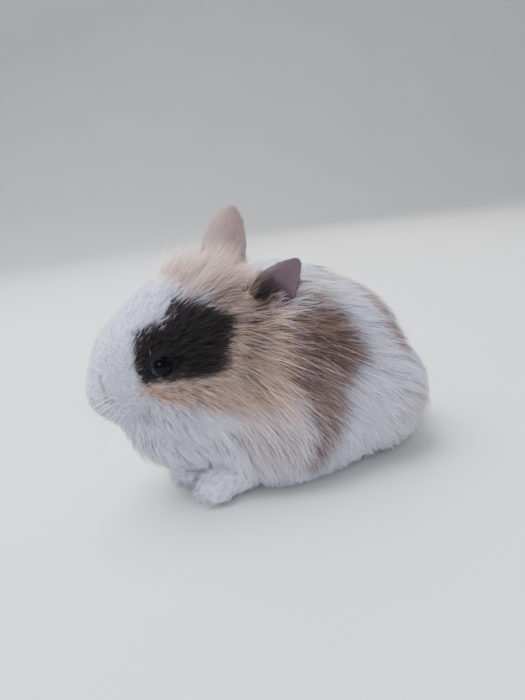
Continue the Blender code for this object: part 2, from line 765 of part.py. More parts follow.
def tail(draw):
    """The scut: a small core with locks that point up and back."""
    core_radii = np.array(TAIL) - TAIL_COAT * CORE_SHARE
    scut = ball("tail", TAIL_AT, core_radii, 8, 12)
    def spaces(points):
        return np.full(len(points), TAIL_LOCK[0])

    roots = even_roots(TAIL_AT, tail_shape, spaces, draw, TAIL_TRIES)
    roots = roots[roots[:, 0] > TAIL_AT[0] - 2]
    size = np.tile(TAIL_LOCK, (len(roots), 1))
    depth = np.full(len(roots), TAIL_COAT)
    return wear(scut, locks_from(roots, size, draw, tail_shape, tail_lie, depth, None))


def gather(nodes):
    """Parents the nodes to an empty that moves the middle of their footprint to the origin."""
    corners = np.array([node.matrix_world @ v.co for node in nodes for v in node.data.vertices])
    low, high = corners.min(0), corners.max(0)
    rabbit = bpy.data.objects.new("rabbit", None)
    bpy.context.scene.collection.objects.link(rabbit)
    rabbit.location = (-(low[0] + high[0]) / 2, -(low[1] + high[1]) / 2, -low[2])
    for node in nodes:
        node.parent = rabbit


for old in list(bpy.data.objects):
    bpy.data.objects.remove(old)
build()
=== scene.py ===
# %% [markdown]
# # A dwarf rabbit kit in its coat
# A young dwarf rabbit crouches on a level floor, life size and still. The measured model gives its true size and
# outline. This lesson builds what the eye sees: one skin for the whole body, two wet eyes, and a coat of many
# thin solid tufts that follow the lie of the hair. Everything is worked out in millimetres and stored in metres.

# %% Load the measured model
import json
import math

import bmesh
import bpy
import numpy as np
from mathutils import Matrix, Vector

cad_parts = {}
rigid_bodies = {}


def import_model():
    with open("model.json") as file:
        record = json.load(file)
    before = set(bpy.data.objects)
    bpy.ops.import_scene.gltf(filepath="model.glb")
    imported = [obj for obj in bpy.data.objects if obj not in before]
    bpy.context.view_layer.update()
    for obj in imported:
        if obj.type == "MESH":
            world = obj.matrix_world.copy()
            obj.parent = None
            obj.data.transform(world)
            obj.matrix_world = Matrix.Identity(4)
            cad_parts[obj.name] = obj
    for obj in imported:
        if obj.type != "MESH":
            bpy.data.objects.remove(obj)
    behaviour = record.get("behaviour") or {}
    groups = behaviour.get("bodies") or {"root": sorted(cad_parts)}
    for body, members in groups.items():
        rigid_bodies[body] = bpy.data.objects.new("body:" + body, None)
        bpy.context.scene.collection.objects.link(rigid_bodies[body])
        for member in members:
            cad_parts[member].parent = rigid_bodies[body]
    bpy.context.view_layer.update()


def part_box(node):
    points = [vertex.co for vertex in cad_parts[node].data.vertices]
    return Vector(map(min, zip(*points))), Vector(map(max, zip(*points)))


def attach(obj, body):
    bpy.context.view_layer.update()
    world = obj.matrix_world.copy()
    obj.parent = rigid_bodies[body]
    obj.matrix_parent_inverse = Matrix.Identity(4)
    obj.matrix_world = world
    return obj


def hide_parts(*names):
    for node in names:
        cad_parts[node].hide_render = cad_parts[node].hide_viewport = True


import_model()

MM = 0.001

# %% [markdown]
# ## Where the head is
# The head has its own axes: +X towards the rump, +Y to the rabbit's right and +Z up, from a point inside the
# skull. It is turned to the left, tipped nose down and tilted. Features could be placed by eye in the scene, but
# in the head's axes they stay on the head whatever its turn. The left eye of the model tells how far the whole
# animal was moved to centre it on the floor.

# %% The head's axes and the eyes
HEAD_AT = np.array((-36.0, -4.0, 68.0))
HEAD_YAW, HEAD_PITCH, HEAD_ROLL = 12, 8, 8
EYE_RADIUS = 6.5
EYE_AT = {"left": np.array((-18.5, -16.4, 1.5)), "right": np.array((-18.5, 16.4, 1.5))}
EYE_AXIS = {"left": np.array((-0.25, -0.95, 0.36)), "right": np.array((-0.25, 0.95, 0.36))}


def unit(vectors):
    """The same directions at length one."""
    return vectors / np.maximum(np.linalg.norm(vectors, axis=-1, keepdims=True), 1e-9)


def turned(yaw, pitch, roll):
    """The matrix that carries the head's axes to the rabbit's: a roll, then a pitch, then a yaw, in degrees."""
    about_z = Matrix.Rotation(math.radians(yaw), 3, "Z")
    about_y = Matrix.Rotation(-math.radians(pitch), 3, "Y")
    about_x = Matrix.Rotation(math.radians(roll), 3, "X")
    return np.array(about_z @ about_y @ about_x)


HEAD_TURN = turned(HEAD_YAW, HEAD_PITCH, HEAD_ROLL)


def into_head(points):
    """Places in the rabbit's axes, given in the head's: the step from the head's centre, turned back."""
    return (points - HEAD_AT) @ HEAD_TURN


def from_head(points):
    """Places in the head's axes, given in the rabbit's."""
    return HEAD_AT + points @ HEAD_TURN.T


eye_low, eye_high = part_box("eye_left")
SHIFT = (np.array(eye_low) + np.array(eye_high)) / 2 / MM - from_head(EYE_AT["left"])
print("the animal was moved by", SHIFT.round(2), "mm")

# %% [markdown]
# ## The form as soft masses
# Under a long coat an animal reads as a few rounded masses: hindquarters, ribs, shoulders, chest, skull, cheeks
# and muzzle. They could be sculpted by hand; here each is an ellipsoid and a soft minimum of their distances
# flows them together. The result is the distance from the tips of the coat, and all later steps ask it where
# the surface is, which way it faces and how deep the hair is.

# %% Masses of the body and head, centre and radii in mm
BODY = [
    ((30, 0, 43), (41, 36, 40)),  # hindquarters
    ((8, 0, 52), (40, 37, 43)),  # ribs
    ((-18, -1, 62), (24, 32, 32)),  # shoulders
    ((53, 0, 27), (22, 26, 24)),  # rump
    ((-34, -3, 36), (20, 28, 28)),  # chest
    ((-47, -8, 34), (21, 21, 21)),  # throat
]
BODY_PAIRS = [((45, 20, 27), (28, 22, 27)), ((6, 20, 24), (44, 24, 30))]  # haunches, flanks
HEAD = [
    ((1, 0, 4), (29, 25.5, 25.5)),  # cranium
    ((-20, 0, 0), (21, 18.5, 20)),  # face
    ((-31, 0, -7), (13, 13, 12.5)),  # muzzle
    ((-42, 0, -8), (3.5, 4, 3.5)),  # nose
    ((-26, 0, -19), (12, 9, 8)),  # chin
]
HEAD_PAIRS = [
    ((-35, 5, -12.5), (8, 7, 6.5)),  # whisker pads
    ((-8, 12.5, -13), (21, 17, 18)),  # cheeks
    ((-15, 9, -27), (18, 16, 14)),  # ruff
]
for single, pairs in ((BODY, BODY_PAIRS), (HEAD, HEAD_PAIRS)):
    for (x, y, z), radii in pairs:
        single += [((x, y, z), radii), ((x, -y, z), radii)]
BLEND = 3.0
NOSE_TIP = np.array((-44.0, 0.0, -8.0))
BELLY_CLEAR = 1.2
SKIN_SHARE = 0.62  # the skin lies this part of the coat's depth below its tips


def ellipsoid(points, centre, radii):
    """Roughly the distance from an ellipsoid: its scaled size times one less than that, over the slope."""
    scaled = (points - np.array(centre, float)) / np.array(radii, float)
    size = np.linalg.norm(scaled, axis=-1)
    slope = np.linalg.norm(scaled / np.array(radii, float), axis=-1)
    return size * (size - 1) / np.maximum(slope, 1e-9)


def soft_min(distances):
    """The smallest distance, less a soft amount where two are close: the log of a sum of exponentials."""
    nearest = distances.min(0)
    return nearest - BLEND * np.log(np.exp((nearest - distances) / BLEND).sum(0))


def head_and_body(points):
    """The distances from the head's masses and from the body's."""
    in_head = into_head(points)
    head = soft_min(np.array([ellipsoid(in_head, *mass) for mass in HEAD]))
    return head, soft_min(np.array([ellipsoid(points, *mass) for mass in BODY]))


def field(points):
    """Roughly the distance from the tips of the coat, negative inside."""
    return soft_min(np.array(head_and_body(points)))


def head_share(points):
    """One on the head and zero on the body, with a soft turn where their distances are equal."""
    head, body = head_and_body(points)
    return 1 / (1 + np.exp(np.clip((head - body) / BLEND, -40, 40)))


def coat_depth(points):
    """The coat's depth: 2 mm on the muzzle, up to 5.5 on the crown, 9 on the cheeks and 10 on the body."""
    in_head = into_head(points)
    back = np.clip((in_head[:, 0] + 26) / 24, 0, 1)
    low = np.clip((5 - in_head[:, 2]) / 20, 0, 1)
    on_head = 2.0 + back * (3.5 + 3.5 * low)
    share = head_share(points)
    return on_head * share + 10.0 * (1 - share)


def bare(points):
    """Roughly the distance from the skin, which lies below the tips by its share of the coat's depth."""
    return field(points) + SKIN_SHARE * coat_depth(points)


def outward(points, shape=field):
    """Unit normals of a distance, from its differences half a millimetre to each side."""
    step = 0.5
    return unit(np.stack([shape(points + step * a) - shape(points - step * a) for a in np.eye(3)], 1))


def lie(points):
    """The way the hair points: away from the nose on the head and down the cheeks, back and down on the body."""
    in_head = into_head(points)
    on_head = unit(in_head - NOSE_TIP)
    on_head[:, 2] -= np.clip((-5 - in_head[:, 2]) / 18, 0, 1.3)
    share = head_share(points)[:, None]
    fall = 10 + 62 * np.clip((85 - points[:, 2]) / 70, 0, 1)
    fall = np.radians(fall * (1 - 0.35 * np.clip((points[:, 0] - 20) / 50, 0, 1)))
    on_body = np.stack([np.cos(fall), 0 * fall, -np.sin(fall)], 1)
    return unit(unit(on_head) @ HEAD_TURN.T * share + on_body * (1 - share))


print("distance at the crown:", field(HEAD_AT[None] + (0, 0, 40)).round(1), "mm")

# %% [markdown]
# ## Surfaces from grids
# The skin's parts are grids of rings: a surface is a function of two parameters, how far along and how far
# round, computed as one array. The body and head are stars: rays from a centre are carried out to the skin by
# halving. Other ways are box modelling or metaballs; rays follow the masses exactly and close by themselves.

# %% Grids, rings and mesh objects


def along_rays(centre, directions, shape, reach=120.0):
    """Where rays from the centre leave the shape: the halfway point is tried 24 times, each time on one side."""
    near, far = np.zeros(len(directions)), np.full(len(directions), reach)
    for _ in range(24):
        middle = (near + far) / 2
        inside = shape(centre + directions * middle[:, None]) < 0
        near, far = np.where(inside, middle, near), np.where(inside, far, middle)
    return centre + directions * near[:, None]


def even_turns(count):
    """Angles in radians at even steps once round."""
    return np.linspace(0, 2 * math.pi, count, endpoint=False)


def ball_directions(rows, columns):
    """A grid of unit directions: rings of latitude from pole to pole, the poles on the first axis."""
    down = np.linspace(0.02, math.pi - 0.02, rows)[:, None]
    turn = even_turns(columns)[None]
    return np.stack([np.cos(down) + 0 * turn, np.sin(down) * np.cos(turn), np.sin(down) * np.sin(turn)], 2)


def ring_faces(rows, columns, start=0):
    """Quads between neighbouring rings, and a face of many sides that closes each end."""
    index = start + np.arange(rows * columns).reshape(rows, columns)
    after = np.roll(index, -1, 1)
    quads = np.stack([index[:-1], index[1:], after[1:], after[:-1]], 2).reshape(-1, 4)
    return quads.tolist() + [index[0].tolist(), index[-1][::-1].tolist()]


def gathered(grids):
    """Several ring grids as one list of points and faces."""
    points, faces = [], []
    for grid in grids:
        faces += ring_faces(grid.shape[0], grid.shape[1], sum(len(p) for p in points))
        points.append(grid.reshape(-1, 3))
    return np.concatenate(points), faces


def shown(name, data):
    """A new object in the scene that holds the data."""
    obj = bpy.data.objects.new(name, data)
    bpy.context.scene.collection.objects.link(obj)
    return obj


def piece(name, points, faces):
    """An object whose mesh holds the points, moved as the model was and turned to metres."""
    mesh = bpy.data.meshes.new(name)
    mesh.from_pydata((points + SHIFT) * MM, [], faces)
    shape = bmesh.new()
    shape.from_mesh(mesh)
    bmesh.ops.recalc_face_normals(shape, faces=shape.faces[:])
    shape.to_mesh(mesh)
    shape.free()
    mesh.shade_smooth()
    return shown(name, mesh)


def applied(obj):
    """Makes what the object's modifiers show its own mesh."""
    graph = bpy.context.evaluated_depsgraph_get()
    mesh = bpy.data.meshes.new_from_object(obj.evaluated_get(graph))
    obj.modifiers.clear()
    old, obj.data = obj.data, mesh
    bpy.data.meshes.remove(old)


# %% Head and body
TO_NOSE = (HEAD_TURN @ np.diag([-1, 1, 1])).T
WHOLE_AT = np.array((10.0, 0.0, 46.0))


def star(centre, axes, stretch, rows, columns):
    """Rings of points on the skin, one on each ray of a ball's grid that is drawn out by the stretch."""
    rays = unit((ball_directions(rows, columns) * np.array(stretch)).reshape(-1, 3) @ axes)
    points = along_rays(centre, rays, bare)
    points[:, 2] = np.maximum(points[:, 2], BELLY_CLEAR + 3)
    return points.reshape(rows, columns, 3)


head_rings = star(HEAD_AT, TO_NOSE, (1.1, 1, 1), 110, 120)
body_rings = star(WHOLE_AT, np.eye(3), (1.3, 1, 1), 120, 130)
print("head and body:", head_rings.size // 3 + body_rings.size // 3, "points")

# %% [markdown]
# ## Ears, paws and tail
# A rabbit's ear is a thin leaf rolled to a cup: narrow at the root, widest below the middle, with soft rounded
# edges. A paw is an oval with four toes in a row. Each is one function; the same formulas as in the measured
# model, less the short fur that covers them.

# %% Ears
EARS = {  # root, tip, the way the cup faces, half the width and how pointed the leaf is
    "ear_left": ((-4, -16, 81), (14.5, -24, 98.5), (-0.3, -1.0, -0.2), 10.5, 0.85),
    "ear_right": ((-13, 10, 87), (-1.5, 15, 122), (0.15, 1.0, 0.0), 12.0, 0.45),
}
EAR_SINK, EAR_HALF_THICK = 9.0, 0.85


def ear_axes(ear):
    """An ear's root, its length, and its directions along, across and out of the cup."""
    root, tip, facing = (np.array(value, float) for value in ear[:3])
    along = unit(tip - root)
    facing = unit(facing - along * (facing @ along))
    return root, np.linalg.norm(tip - root), along, np.cross(along, facing), facing


def ear_rings(ear, rows, columns, trim=0.5):
    """Rings of an ear: at each share of its length a flattened ellipse, bent up at both edges by a squared
    cosine, as wide as a power of a sine of the share."""
    root, length, along, side, facing = ear_axes(ear)
    share = np.sin(math.pi / 2 * np.linspace(0, 0.995, rows))[:, None]
    up = share * (length + EAR_SINK - trim) - EAR_SINK
    half = (ear[3] - trim) * np.sin(math.pi * (0.1 + 0.9 * share)) ** ear[4]
    turn = even_turns(columns)[None]
    curl = (0.75 - 0.4 * share) * half * np.cos(turn) ** 2
    thick = EAR_HALF_THICK * np.minimum(1, half / 2.5) * np.sign(np.sin(turn)) * np.abs(np.sin(turn)) ** 0.6
    across = half * np.sign(np.cos(turn)) * np.abs(np.cos(turn)) ** 0.9
    return root + along * up[..., None] + side * across[..., None] + facing * (curl + thick)[..., None]


ears = {name: ear_rings(ear, 60, 64) for name, ear in EARS.items()}
print("ears:", {name: rings.shape for name, rings in ears.items()})

# %% Paws and tail
PAWS = {  # centre and radii
    "foreleg_left": ((-28, -24.5, 8), (17, 9.5, 9)),
    "foreleg_right": ((-35, -3.5, 8), (17, 9.5, 9)),
    "hindleg_left": ((16, -28, 5.5), (25, 8, 6.5)),
    "hindleg_right": ((16, 28, 5.5), (25, 8, 6.5)),
}
TAIL_AT, TAIL = (75, -1, 20), (9, 9, 11)
PAW_COAT, TAIL_COAT = 1.3, 4.0


def paw_balls(centre, radii):
    """A paw's foot and its four toes as centres and radii, the outer toes set back by a square law."""
    balls = [(centre, radii)]
    for i in range(4):
        share = i / 3 - 0.5
        reach = radii[0] * (0.62 - 0.5 * share * share)
        at = (centre[0] - reach, centre[1] + radii[1] * 1.5 * share, centre[2] - radii[2] * 0.25)
        balls.append((at, (radii[0] * 0.45, radii[1] * 0.3, radii[2] * 0.62)))
    return balls


def ball_rings(centre, radii, rows=26, columns=32, less=0.0):
    """Rings of an ellipsoid, shrunk all round and never below the floor."""
    points = np.array(centre, float) + ball_directions(rows, columns) * (np.array(radii, float) - less)
    points[..., 2] = np.maximum(points[..., 2], 0.5)
    return points


def from_paw(points, centre, radii, less=0.0):
    """The distance from a paw: the least of those from its foot and toes, with their radii made less."""
    return np.min([ellipsoid(points, at, np.array(r, float) - less) for at, r in paw_balls(centre, radii)], 0)


paws = [ball_rings(*ball, less=PAW_COAT * (1 if i == 0 else 0.55))
        for centre, radii in PAWS.values() for i, ball in enumerate(paw_balls(centre, radii))]
scut = ball_rings(TAIL_AT, TAIL, less=TAIL_COAT)
print("paws and toes:", len(paws))

# %% [markdown]
# ## Lids
# The lids are two soft folds that lie on the eyeball and leave a lens-shaped opening about 11 mm long. A ring
# whose section is a flat oval, bent over the ball, gives both folds at once with a rounded rim.

# %% Lids
OPENING_LONG, OPENING_HIGH = 50.0, 31.0  # half the opening, in degrees seen from the eye's centre
LID_OUTER = 84.0  # degrees: where the lids end, below the skin
LID_MIDDLE, LID_HALF_THICK = 0.35, 0.55  # mm: the lids' middle above the ball, and half their thickness


def eye_axes(side):
    """An eye's centre and its directions out, towards the nose and up, in the head's axes."""
    out = unit(EYE_AXIS[side])
    forward = np.array((-1.0, 0.0, -0.12))
    forward = unit(forward - out * (forward @ out))
    up = np.cross(forward, out)
    return EYE_AT[side], out, forward, up * np.sign(up[2])


def about_eye(side, turn, tilt, radius):
    """Places round an eye's centre: out along its axis by the cosine of the tilt and aside by its sine, both
    times the radius."""
    centre, out, forward, up = eye_axes(side)
    aside = forward * np.cos(turn)[..., None] + up * np.sin(turn)[..., None]
    way = out * np.cos(tilt)[..., None] + aside * np.sin(tilt)[..., None]
    return from_head(centre + radius[..., None] * way)


def opening(turn):
    """How far the opening reaches from the eye's axis at each turn round it, in degrees, as an ellipse does."""
    return 1 / np.sqrt((np.cos(turn) / OPENING_LONG) ** 2 + (np.sin(turn) / OPENING_HIGH) ** 2)


def lid_rings(side, around=72, section=18):
    """The lids: at each turn round the eye an oval section from the opening's rim out to below the skin."""
    turn, bend = even_turns(around)[:, None], even_turns(section)[None]
    rim = opening(turn)
    tilt = np.radians((rim + LID_OUTER) / 2 - (LID_OUTER - rim) / 2 * np.cos(bend))
    return about_eye(side, turn, tilt, EYE_RADIUS + LID_MIDDLE + LID_HALF_THICK * np.sin(bend))


def torus_faces(rows, columns, start):
    """Quads of a grid that closes both ways."""
    index = start + np.arange(rows * columns).reshape(rows, columns)
    down, after = np.roll(index, -1, 0), np.roll(index, -1, 1)
    return np.stack([index, down, np.roll(down, -1, 1), after], 2).reshape(-1, 4).tolist()


lids = {side: lid_rings(side) for side in EYE_AT}
print("lids:", {side: rings.shape for side, rings in lids.items()})

# %% [markdown]
# ## One skin
# Head, body, ears, paws, tail and lids overlap. A Boolean union would leave creases where they meet; a voxel
# remesh melts them into one even surface, and a light smoothing takes the steps out. The eye sockets are cut
# afterwards, so that the lids keep a clean edge against the ball.

# %% Join, melt and smooth
VOXEL = 0.85

points, faces = gathered([head_rings, body_rings, *ears.values(), *paws, scut])
for rings in lids.values():
    faces += torus_faces(rings.shape[0], rings.shape[1], len(points))
    points = np.concatenate([points, rings.reshape(-1, 3)])
skin = piece("skin", points, faces)
melt = skin.modifiers.new("melt", "REMESH")
melt.mode, melt.voxel_size, melt.use_smooth_shade = "VOXEL", VOXEL * MM, True
applied(skin)
ease = skin.modifiers.new("ease", "SMOOTH")
ease.factor, ease.iterations = 0.5, 3
applied(skin)
for side, at in EYE_AT.items():
    socket = piece("socket", *gathered([from_head(at + ball_directions(40, 56) * (EYE_RADIUS + 0.12))]))
    cut = skin.modifiers.new("cut", "BOOLEAN")
    cut.operation, cut.object, cut.solver = "DIFFERENCE", socket, "MANIFOLD"
    applied(skin)
    bpy.data.objects.remove(socket)
print("skin:", len(skin.data.vertices), "points")

# %% [markdown]
# ## Nose and mouth
# On a kit the nose is two slanted slits and a split lip, almost hidden in short hair. They could be cut with
# Booleans; pressing the skin in along lines drawn on the face, by a bell curve of the distance from the line,
# keeps it soft. The skin there is made finer first.

# %% Press in the lines of the face
FACE_LINES = {  # azimuth and elevation in degrees from the head's centre, depth and width of the groove in mm
    "nostril_left": ([(-7, 3), (-10, -2), (-12.5, -8.5)], 0.7, 0.55),
    "nostril_right": ([(1, 3), (4, -2), (6.5, -8.5)], 0.7, 0.55),
    "wing_left": ([(-11.5, -9.8), (-15, -10.4)], 1.3, 0.6),
    "wing_right": ([(5.5, -9.8), (9, -10.4)], 1.3, 0.6),
    "split_lip": ([(-3, -9), (-3, -14), (-3, -19)], 0.9, 0.5),
    "mouth": ([(-21, -27), (-15, -23.5), (-9, -21), (-3, -20), (3, -21), (9, -23.5), (15, -27)], 1.4, 0.6),
}
FINE_AT, FINE_WITHIN = (-41.0, -3.0, -8.0), 11  # in the head's mm: where the mesh is made finer
PRESS_AT, PRESS_WITHIN = (-38.0, -3.0, -10.0), 20  # and where the lines may press it in


def dense_line(stations, count):
    """Points at even steps of station number along a line given by a few."""
    stations = np.array(stations, float)
    share = np.linspace(0, len(stations) - 1, count)
    return np.stack([np.interp(share, np.arange(len(stations)), axis) for axis in stations.T], 1)


def head_rays(azimuth, elevation):
    """Directions from the head's centre, by the angle to the right of the nose and the angle up, in degrees."""
    a, e = np.radians(azimuth), np.radians(elevation)
    return np.stack([-np.cos(a) * np.cos(e), np.sin(a) * np.cos(e), np.sin(e)], 1) @ HEAD_TURN.T


def gap_to(points, cloud, reach):
    """Distance to the nearest point of a cloud, worked out only inside the cloud's box grown by the reach."""
    gap = np.full(len(points), reach)
    near = np.nonzero(((points > cloud.min(0) - reach) & (points < cloud.max(0) + reach)).all(1))[0]
    for some in np.array_split(near, max(1, len(near) // 2000)):
        gap[some] = np.minimum(reach, np.linalg.norm(points[some][:, None] - cloud[None], axis=2).min(1))
    return gap


def mesh_points(mesh):
    """A mesh's points in the rabbit's own millimetres."""
    co = np.empty(len(mesh.vertices) * 3, np.float32)
    mesh.vertices.foreach_get("co", co)
    return co.reshape(-1, 3).astype(float) / MM - SHIFT


face_lines = {name: along_rays(HEAD_AT, head_rays(*dense_line(line[0], 24).T), bare)
              for name, line in FACE_LINES.items()}
fine = bmesh.new()
fine.from_mesh(skin.data)
near_nose = Vector((from_head(np.array(FINE_AT)) + SHIFT) * MM)
edges = [e for e in fine.edges if (e.verts[0].co - near_nose).length < FINE_WITHIN * MM]
bmesh.ops.subdivide_edges(fine, edges=edges, cuts=1, use_grid_fill=True)
bmesh.ops.triangulate(fine, faces=fine.faces[:])
fine.to_mesh(skin.data)
fine.free()
at = mesh_points(skin.data)
near = np.nonzero(np.linalg.norm(at - from_head(np.array(PRESS_AT)), axis=1) < PRESS_WITHIN)[0]
inward = -outward(at[near], bare)
for name, (_, depth, width) in FACE_LINES.items():
    dip = depth * np.exp(-(gap_to(at[near], face_lines[name], 6.0) / width) ** 2)
    at[near] += inward * dip[:, None]
skin.data.vertices.foreach_set("co", ((at + SHIFT) * MM).astype(np.float32).ravel())
skin.data.update()
skin.data.shade_smooth()
print("skin after refining the muzzle:", len(skin.data.polygons), "triangles")

# %% [markdown]
# ## Markings
# The coat is white, with a near-black patch round each eye, tan below it, fawn cheeks and crown, a brown patch
# on each flank and a narrow fawn stripe over the loin. They could be painted; here a patch is an outline in the
# side view, with a soft edge, and stays as sharp at any size. Skin and tufts ask the same function, a tuft for
# the place where it shows, a little past its middle.

# %% Colours and outlines


def linear(code):
    """An sRGB hex colour turned to linear light: the curve of the standard, a power of 2.4 above its foot."""
    c = np.array([int(code[i : i + 2], 16) for i in (1, 3, 5)]) / 255
    return np.where(c <= 0.04045, c / 12.92, ((c + 0.055) / 1.055) ** 2.4)


# The white hair's faint lavender is painted light: a cool cast of light laid into its colour.
WHITE_HAIR, CREAM, PALE_FAWN, FAWN = (linear(c) for c in ("#E7E8FA", "#DDCCC3", "#CFAE9B", "#A98B7B"))
TAN, BROWN, DEEP_BROWN = (linear(c) for c in ("#B88E7B", "#846555", "#5B4136"))
PATCH_BLACK, PATCH_BROWN, SMOKE = (linear(c) for c in ("#1A1516", "#382926", "#5A4F52"))
# The last of these is painted shade, laid deep in the ear's cup, before the laid-back ear's root and in the
# nostrils' wings.
EAR_BACK, EAR_INSIDE, EAR_RIM, CREASE_SHADE = (linear(c) for c in ("#A88F8C", "#6E5B62", "#9C8A80", "#40353A"))
BARE_PINK, LID_DARK = linear("#B98F8E"), linear("#171416")

# The head's patches are outlines in its own x and z, the body's in the rabbit's, all in mm
EYE_PATCH = [(-24.5, 16.5), (-27.5, 11), (-29.5, 5), (-29.5, -1.5), (-26.5, -3.5), (-23, -3), (-15, -4.2),
             (-9, -6), (-3, -8), (1, -6), (5.5, 1), (10.5, 8.5), (12.5, 13), (9, 17), (4.5, 20.5), (0, 23.5),
             (-6, 25), (-9.5, 22), (-12.5, 19.5), (-19, 18)]
SMOKY = [(0, -10), (7, 0), (11, 9), (10, 16), (6, 21), (18, 25), (25, 14), (21, -4), (10, -14)]
UNDER_EYE = [(-25, -3.5), (-15, -4), (-8, -5), (3, -9), (3, -11), (-9, -8.5), (-16, -7), (-25, -5.5)]
FACE_TAN = [(-29, -3), (-20, 2), (0, 10), (10, 27), (19, 24), (30, 16), (31, -3), (27, -15), (17, -25),
            (5, -22), (-5, -22), (-13, -17), (-20, -13), (-25, -11), (-29, -6)]
CROWN = [(-2, 60), (-2, 27), (5, 24), (12, 17), (22, 8), (34, 8), (37, 16), (33, 34), (24, 60)]
NECK = [(-5, 86), (6, 84), (6, 74), (3, 66), (3, 49), (4, 38), (0, 27), (-4, 12), (-19, 14), (-26, 23),
        (-28, 34), (-27, 43), (-22, 53), (-22, 66), (-18, 77)]
UPPER = [(9, 79), (13, 85), (24, 86), (32, 77), (20, 74)]
FLANK = [(7, 77), (17, 79), (29, 75), (33, 69), (36, 58), (37, 53), (29, 46), (23, 40), (20, 30), (16, 22),
         (9, 12), (5, 7), (-1, 11), (3, 27), (2, 38), (0, 48), (-2, 56), (-2, 63), (1, 69)]
FLANK_CORE = [(8, 70), (21, 69), (29, 63), (31, 55), (26, 50), (17, 53), (9, 61)]
STRIPE = [(30, -5, 89), (38, -5, 88.5), (45, -6, 85), (49, -11, 78), (51, -18, 72), (54, -21, 66.5),
          (57, -24, 60), (60, -26, 52)]
EAR_FOOT = [(-6, 0, 78.5), (-3.5, 0, 82), (-1.5, 0, 85)]  # painted shade in the crease before the laid-back ear's root
PAD_GREY_SPOT, PALE_HIP, DARK_FLECK = (-31, -17.5), (58, -38, 24), (-27, -36, 27)
print("white in linear light:", WHITE_HAIR.round(3))

# %% Inside an outline, and a soft edge


def inside_by(x, z, outline):
    """How far inside an outline each place lies: the distance to its nearest edge, positive where a line
    towards +x crosses its edges an odd number of times."""
    a = np.array(outline, float)
    b = np.roll(a, -1, 0)
    along = b - a
    p = np.stack([x, z], 1)[:, None]
    t = np.clip(((p - a) * along).sum(2) / (along**2).sum(1), 0, 1)
    gap = np.linalg.norm(p - a - t[..., None] * along, axis=2).min(1)
    rise = np.where(along[:, 1] == 0, 1e-9, along[:, 1])
    level = (a[:, 1] > z[:, None]) != (b[:, 1] > z[:, None])
    crossed = level & (x[:, None] < along[:, 0] * (z[:, None] - a[:, 1]) / rise + a[:, 0])
    return np.where(crossed.sum(1) % 2 == 1, gap, -gap)


def soft(depth, edge):
    """Zero outside and one inside, over an edge of the given width, as a smooth S."""
    t = np.clip(depth / edge + 0.5, 0, 1)
    return t * t * (3 - 2 * t)


print("the eye patch at its middle, in mm:", inside_by(np.zeros(1), np.full(1, 8.0), EYE_PATCH).round(1))

# %% The markings as one function


def markings(points, stray=0.0):
    """The coat's colour at places on the body and head, in linear light. A stray shifts each patch's edge."""
    h = into_head(points)
    x, y, z = points.T
    on_head = head_share(points)
    far = y > 0
    colour = np.tile(WHITE_HAIR, (len(points), 1))

    def lay(tint, weight):
        colour[:] += (tint - colour) * weight[:, None]

    def on_face(outline):
        return inside_by(h[:, 0], h[:, 2], outline)

    def on_side(outline):
        return inside_by(x, z, outline)

    def away(spot):
        return np.linalg.norm(points - spot, axis=1)

    sides = soft(np.abs(y) - 12, 10)
    lay(CREAM, 0.7 * soft(on_side(UPPER) + stray, 8))  # behind the ears
    crown = soft(on_face(CROWN) + stray, 5)
    lay(PALE_FAWN, 0.95 * crown)
    lay(FAWN, 0.1 * crown * soft(h[:, 0] - 8, 12))  # darker towards the nape
    lay(PALE_FAWN, 0.9 * soft(on_side(NECK) + stray, 8) * sides)
    lay(WHITE_HAIR, 0.55 * soft(36 - z + 6 * stray, 24) * soft(8 - x, 10))  # the low chest
    face = on_face(FACE_TAN) + stray
    lay(PALE_FAWN, soft(face, 6) * sides)  # cheeks
    lay(TAN, soft(np.minimum(face, -4 - h[:, 0]) - 1, 9) * on_head * 0.85)  # below the eye
    lay(SMOKE, 0.55 * soft(on_face(SMOKY) + stray * 2, 6))  # sooty hair behind the eye patch
    flank = inside_by(np.where(far, x - 5, x), np.where(far, z + 3, z), FLANK) + stray
    lay(BROWN, (0.95 - 0.12 * soft(26 - z + 8 * stray, 30)) * soft(flank, 6) * sides)  # paler low down
    lay(DEEP_BROWN, 0.7 * soft(on_side(FLANK_CORE) + stray * 1.5, 9) * sides)
    stripe = gap_to(points, dense_line(STRIPE, 60), 12.0) - stray * 0.6
    lay(FAWN, soft(6.2 - stripe, 4.5))
    lay(BROWN, 0.45 * soft(4.5 - stripe, 5))  # its middle
    lay(BROWN, 0.8 * soft(5 - away(STRIPE[0]) + stray * 0.6, 4))  # its start
    foot = gap_to(points * (1, 0, 1), dense_line(EAR_FOOT, 60), 8.0) - stray * 0.5
    # painted shade in the crease before the laid-back ear's root
    lay(CREASE_SHADE, 0.8 * soft(4.2 - foot, 3) * ~far)
    # a grey spot on the near whisker pad
    lay(SMOKE, 0.3 * soft(2.5 - np.linalg.norm(h[:, [0, 2]] - PAD_GREY_SPOT, axis=1), 3) * ~far)
    lay(CREAM, 0.5 * soft(9 - away(PALE_HIP), 8))
    lay(SMOKE, 0.5 * soft(3.5 - away(DARK_FLECK), 4))
    patch = on_face(EYE_PATCH) + stray * 0.6
    by_eye = np.clip(on_head * 4, 0, 1)
    lay(PATCH_BROWN, soft(patch, 2.5) * by_eye)  # the patch's rim
    lay(PATCH_BLACK, soft(patch - 2, 5) * by_eye)
    lay(CREAM, 0.6 * soft(on_face(UNDER_EYE) + stray * 0.5, 2.5) * on_head)
    return colour


print("colour at the left flank:", markings(np.array(((20.0, -36.0, 60.0),))).round(3))

# %% [markdown]
# ## Which part is it
# Hair on the ears, paws and tail has its own length, lie and colour. Each place of the skin belongs to the part
# whose surface is nearest to it.

# %% Parts of the skin
PARTS = ["body", *EARS, *PAWS, "tail"]
FIRST_PAW, TAIL_PART = PARTS.index("foreleg_left"), PARTS.index("tail")


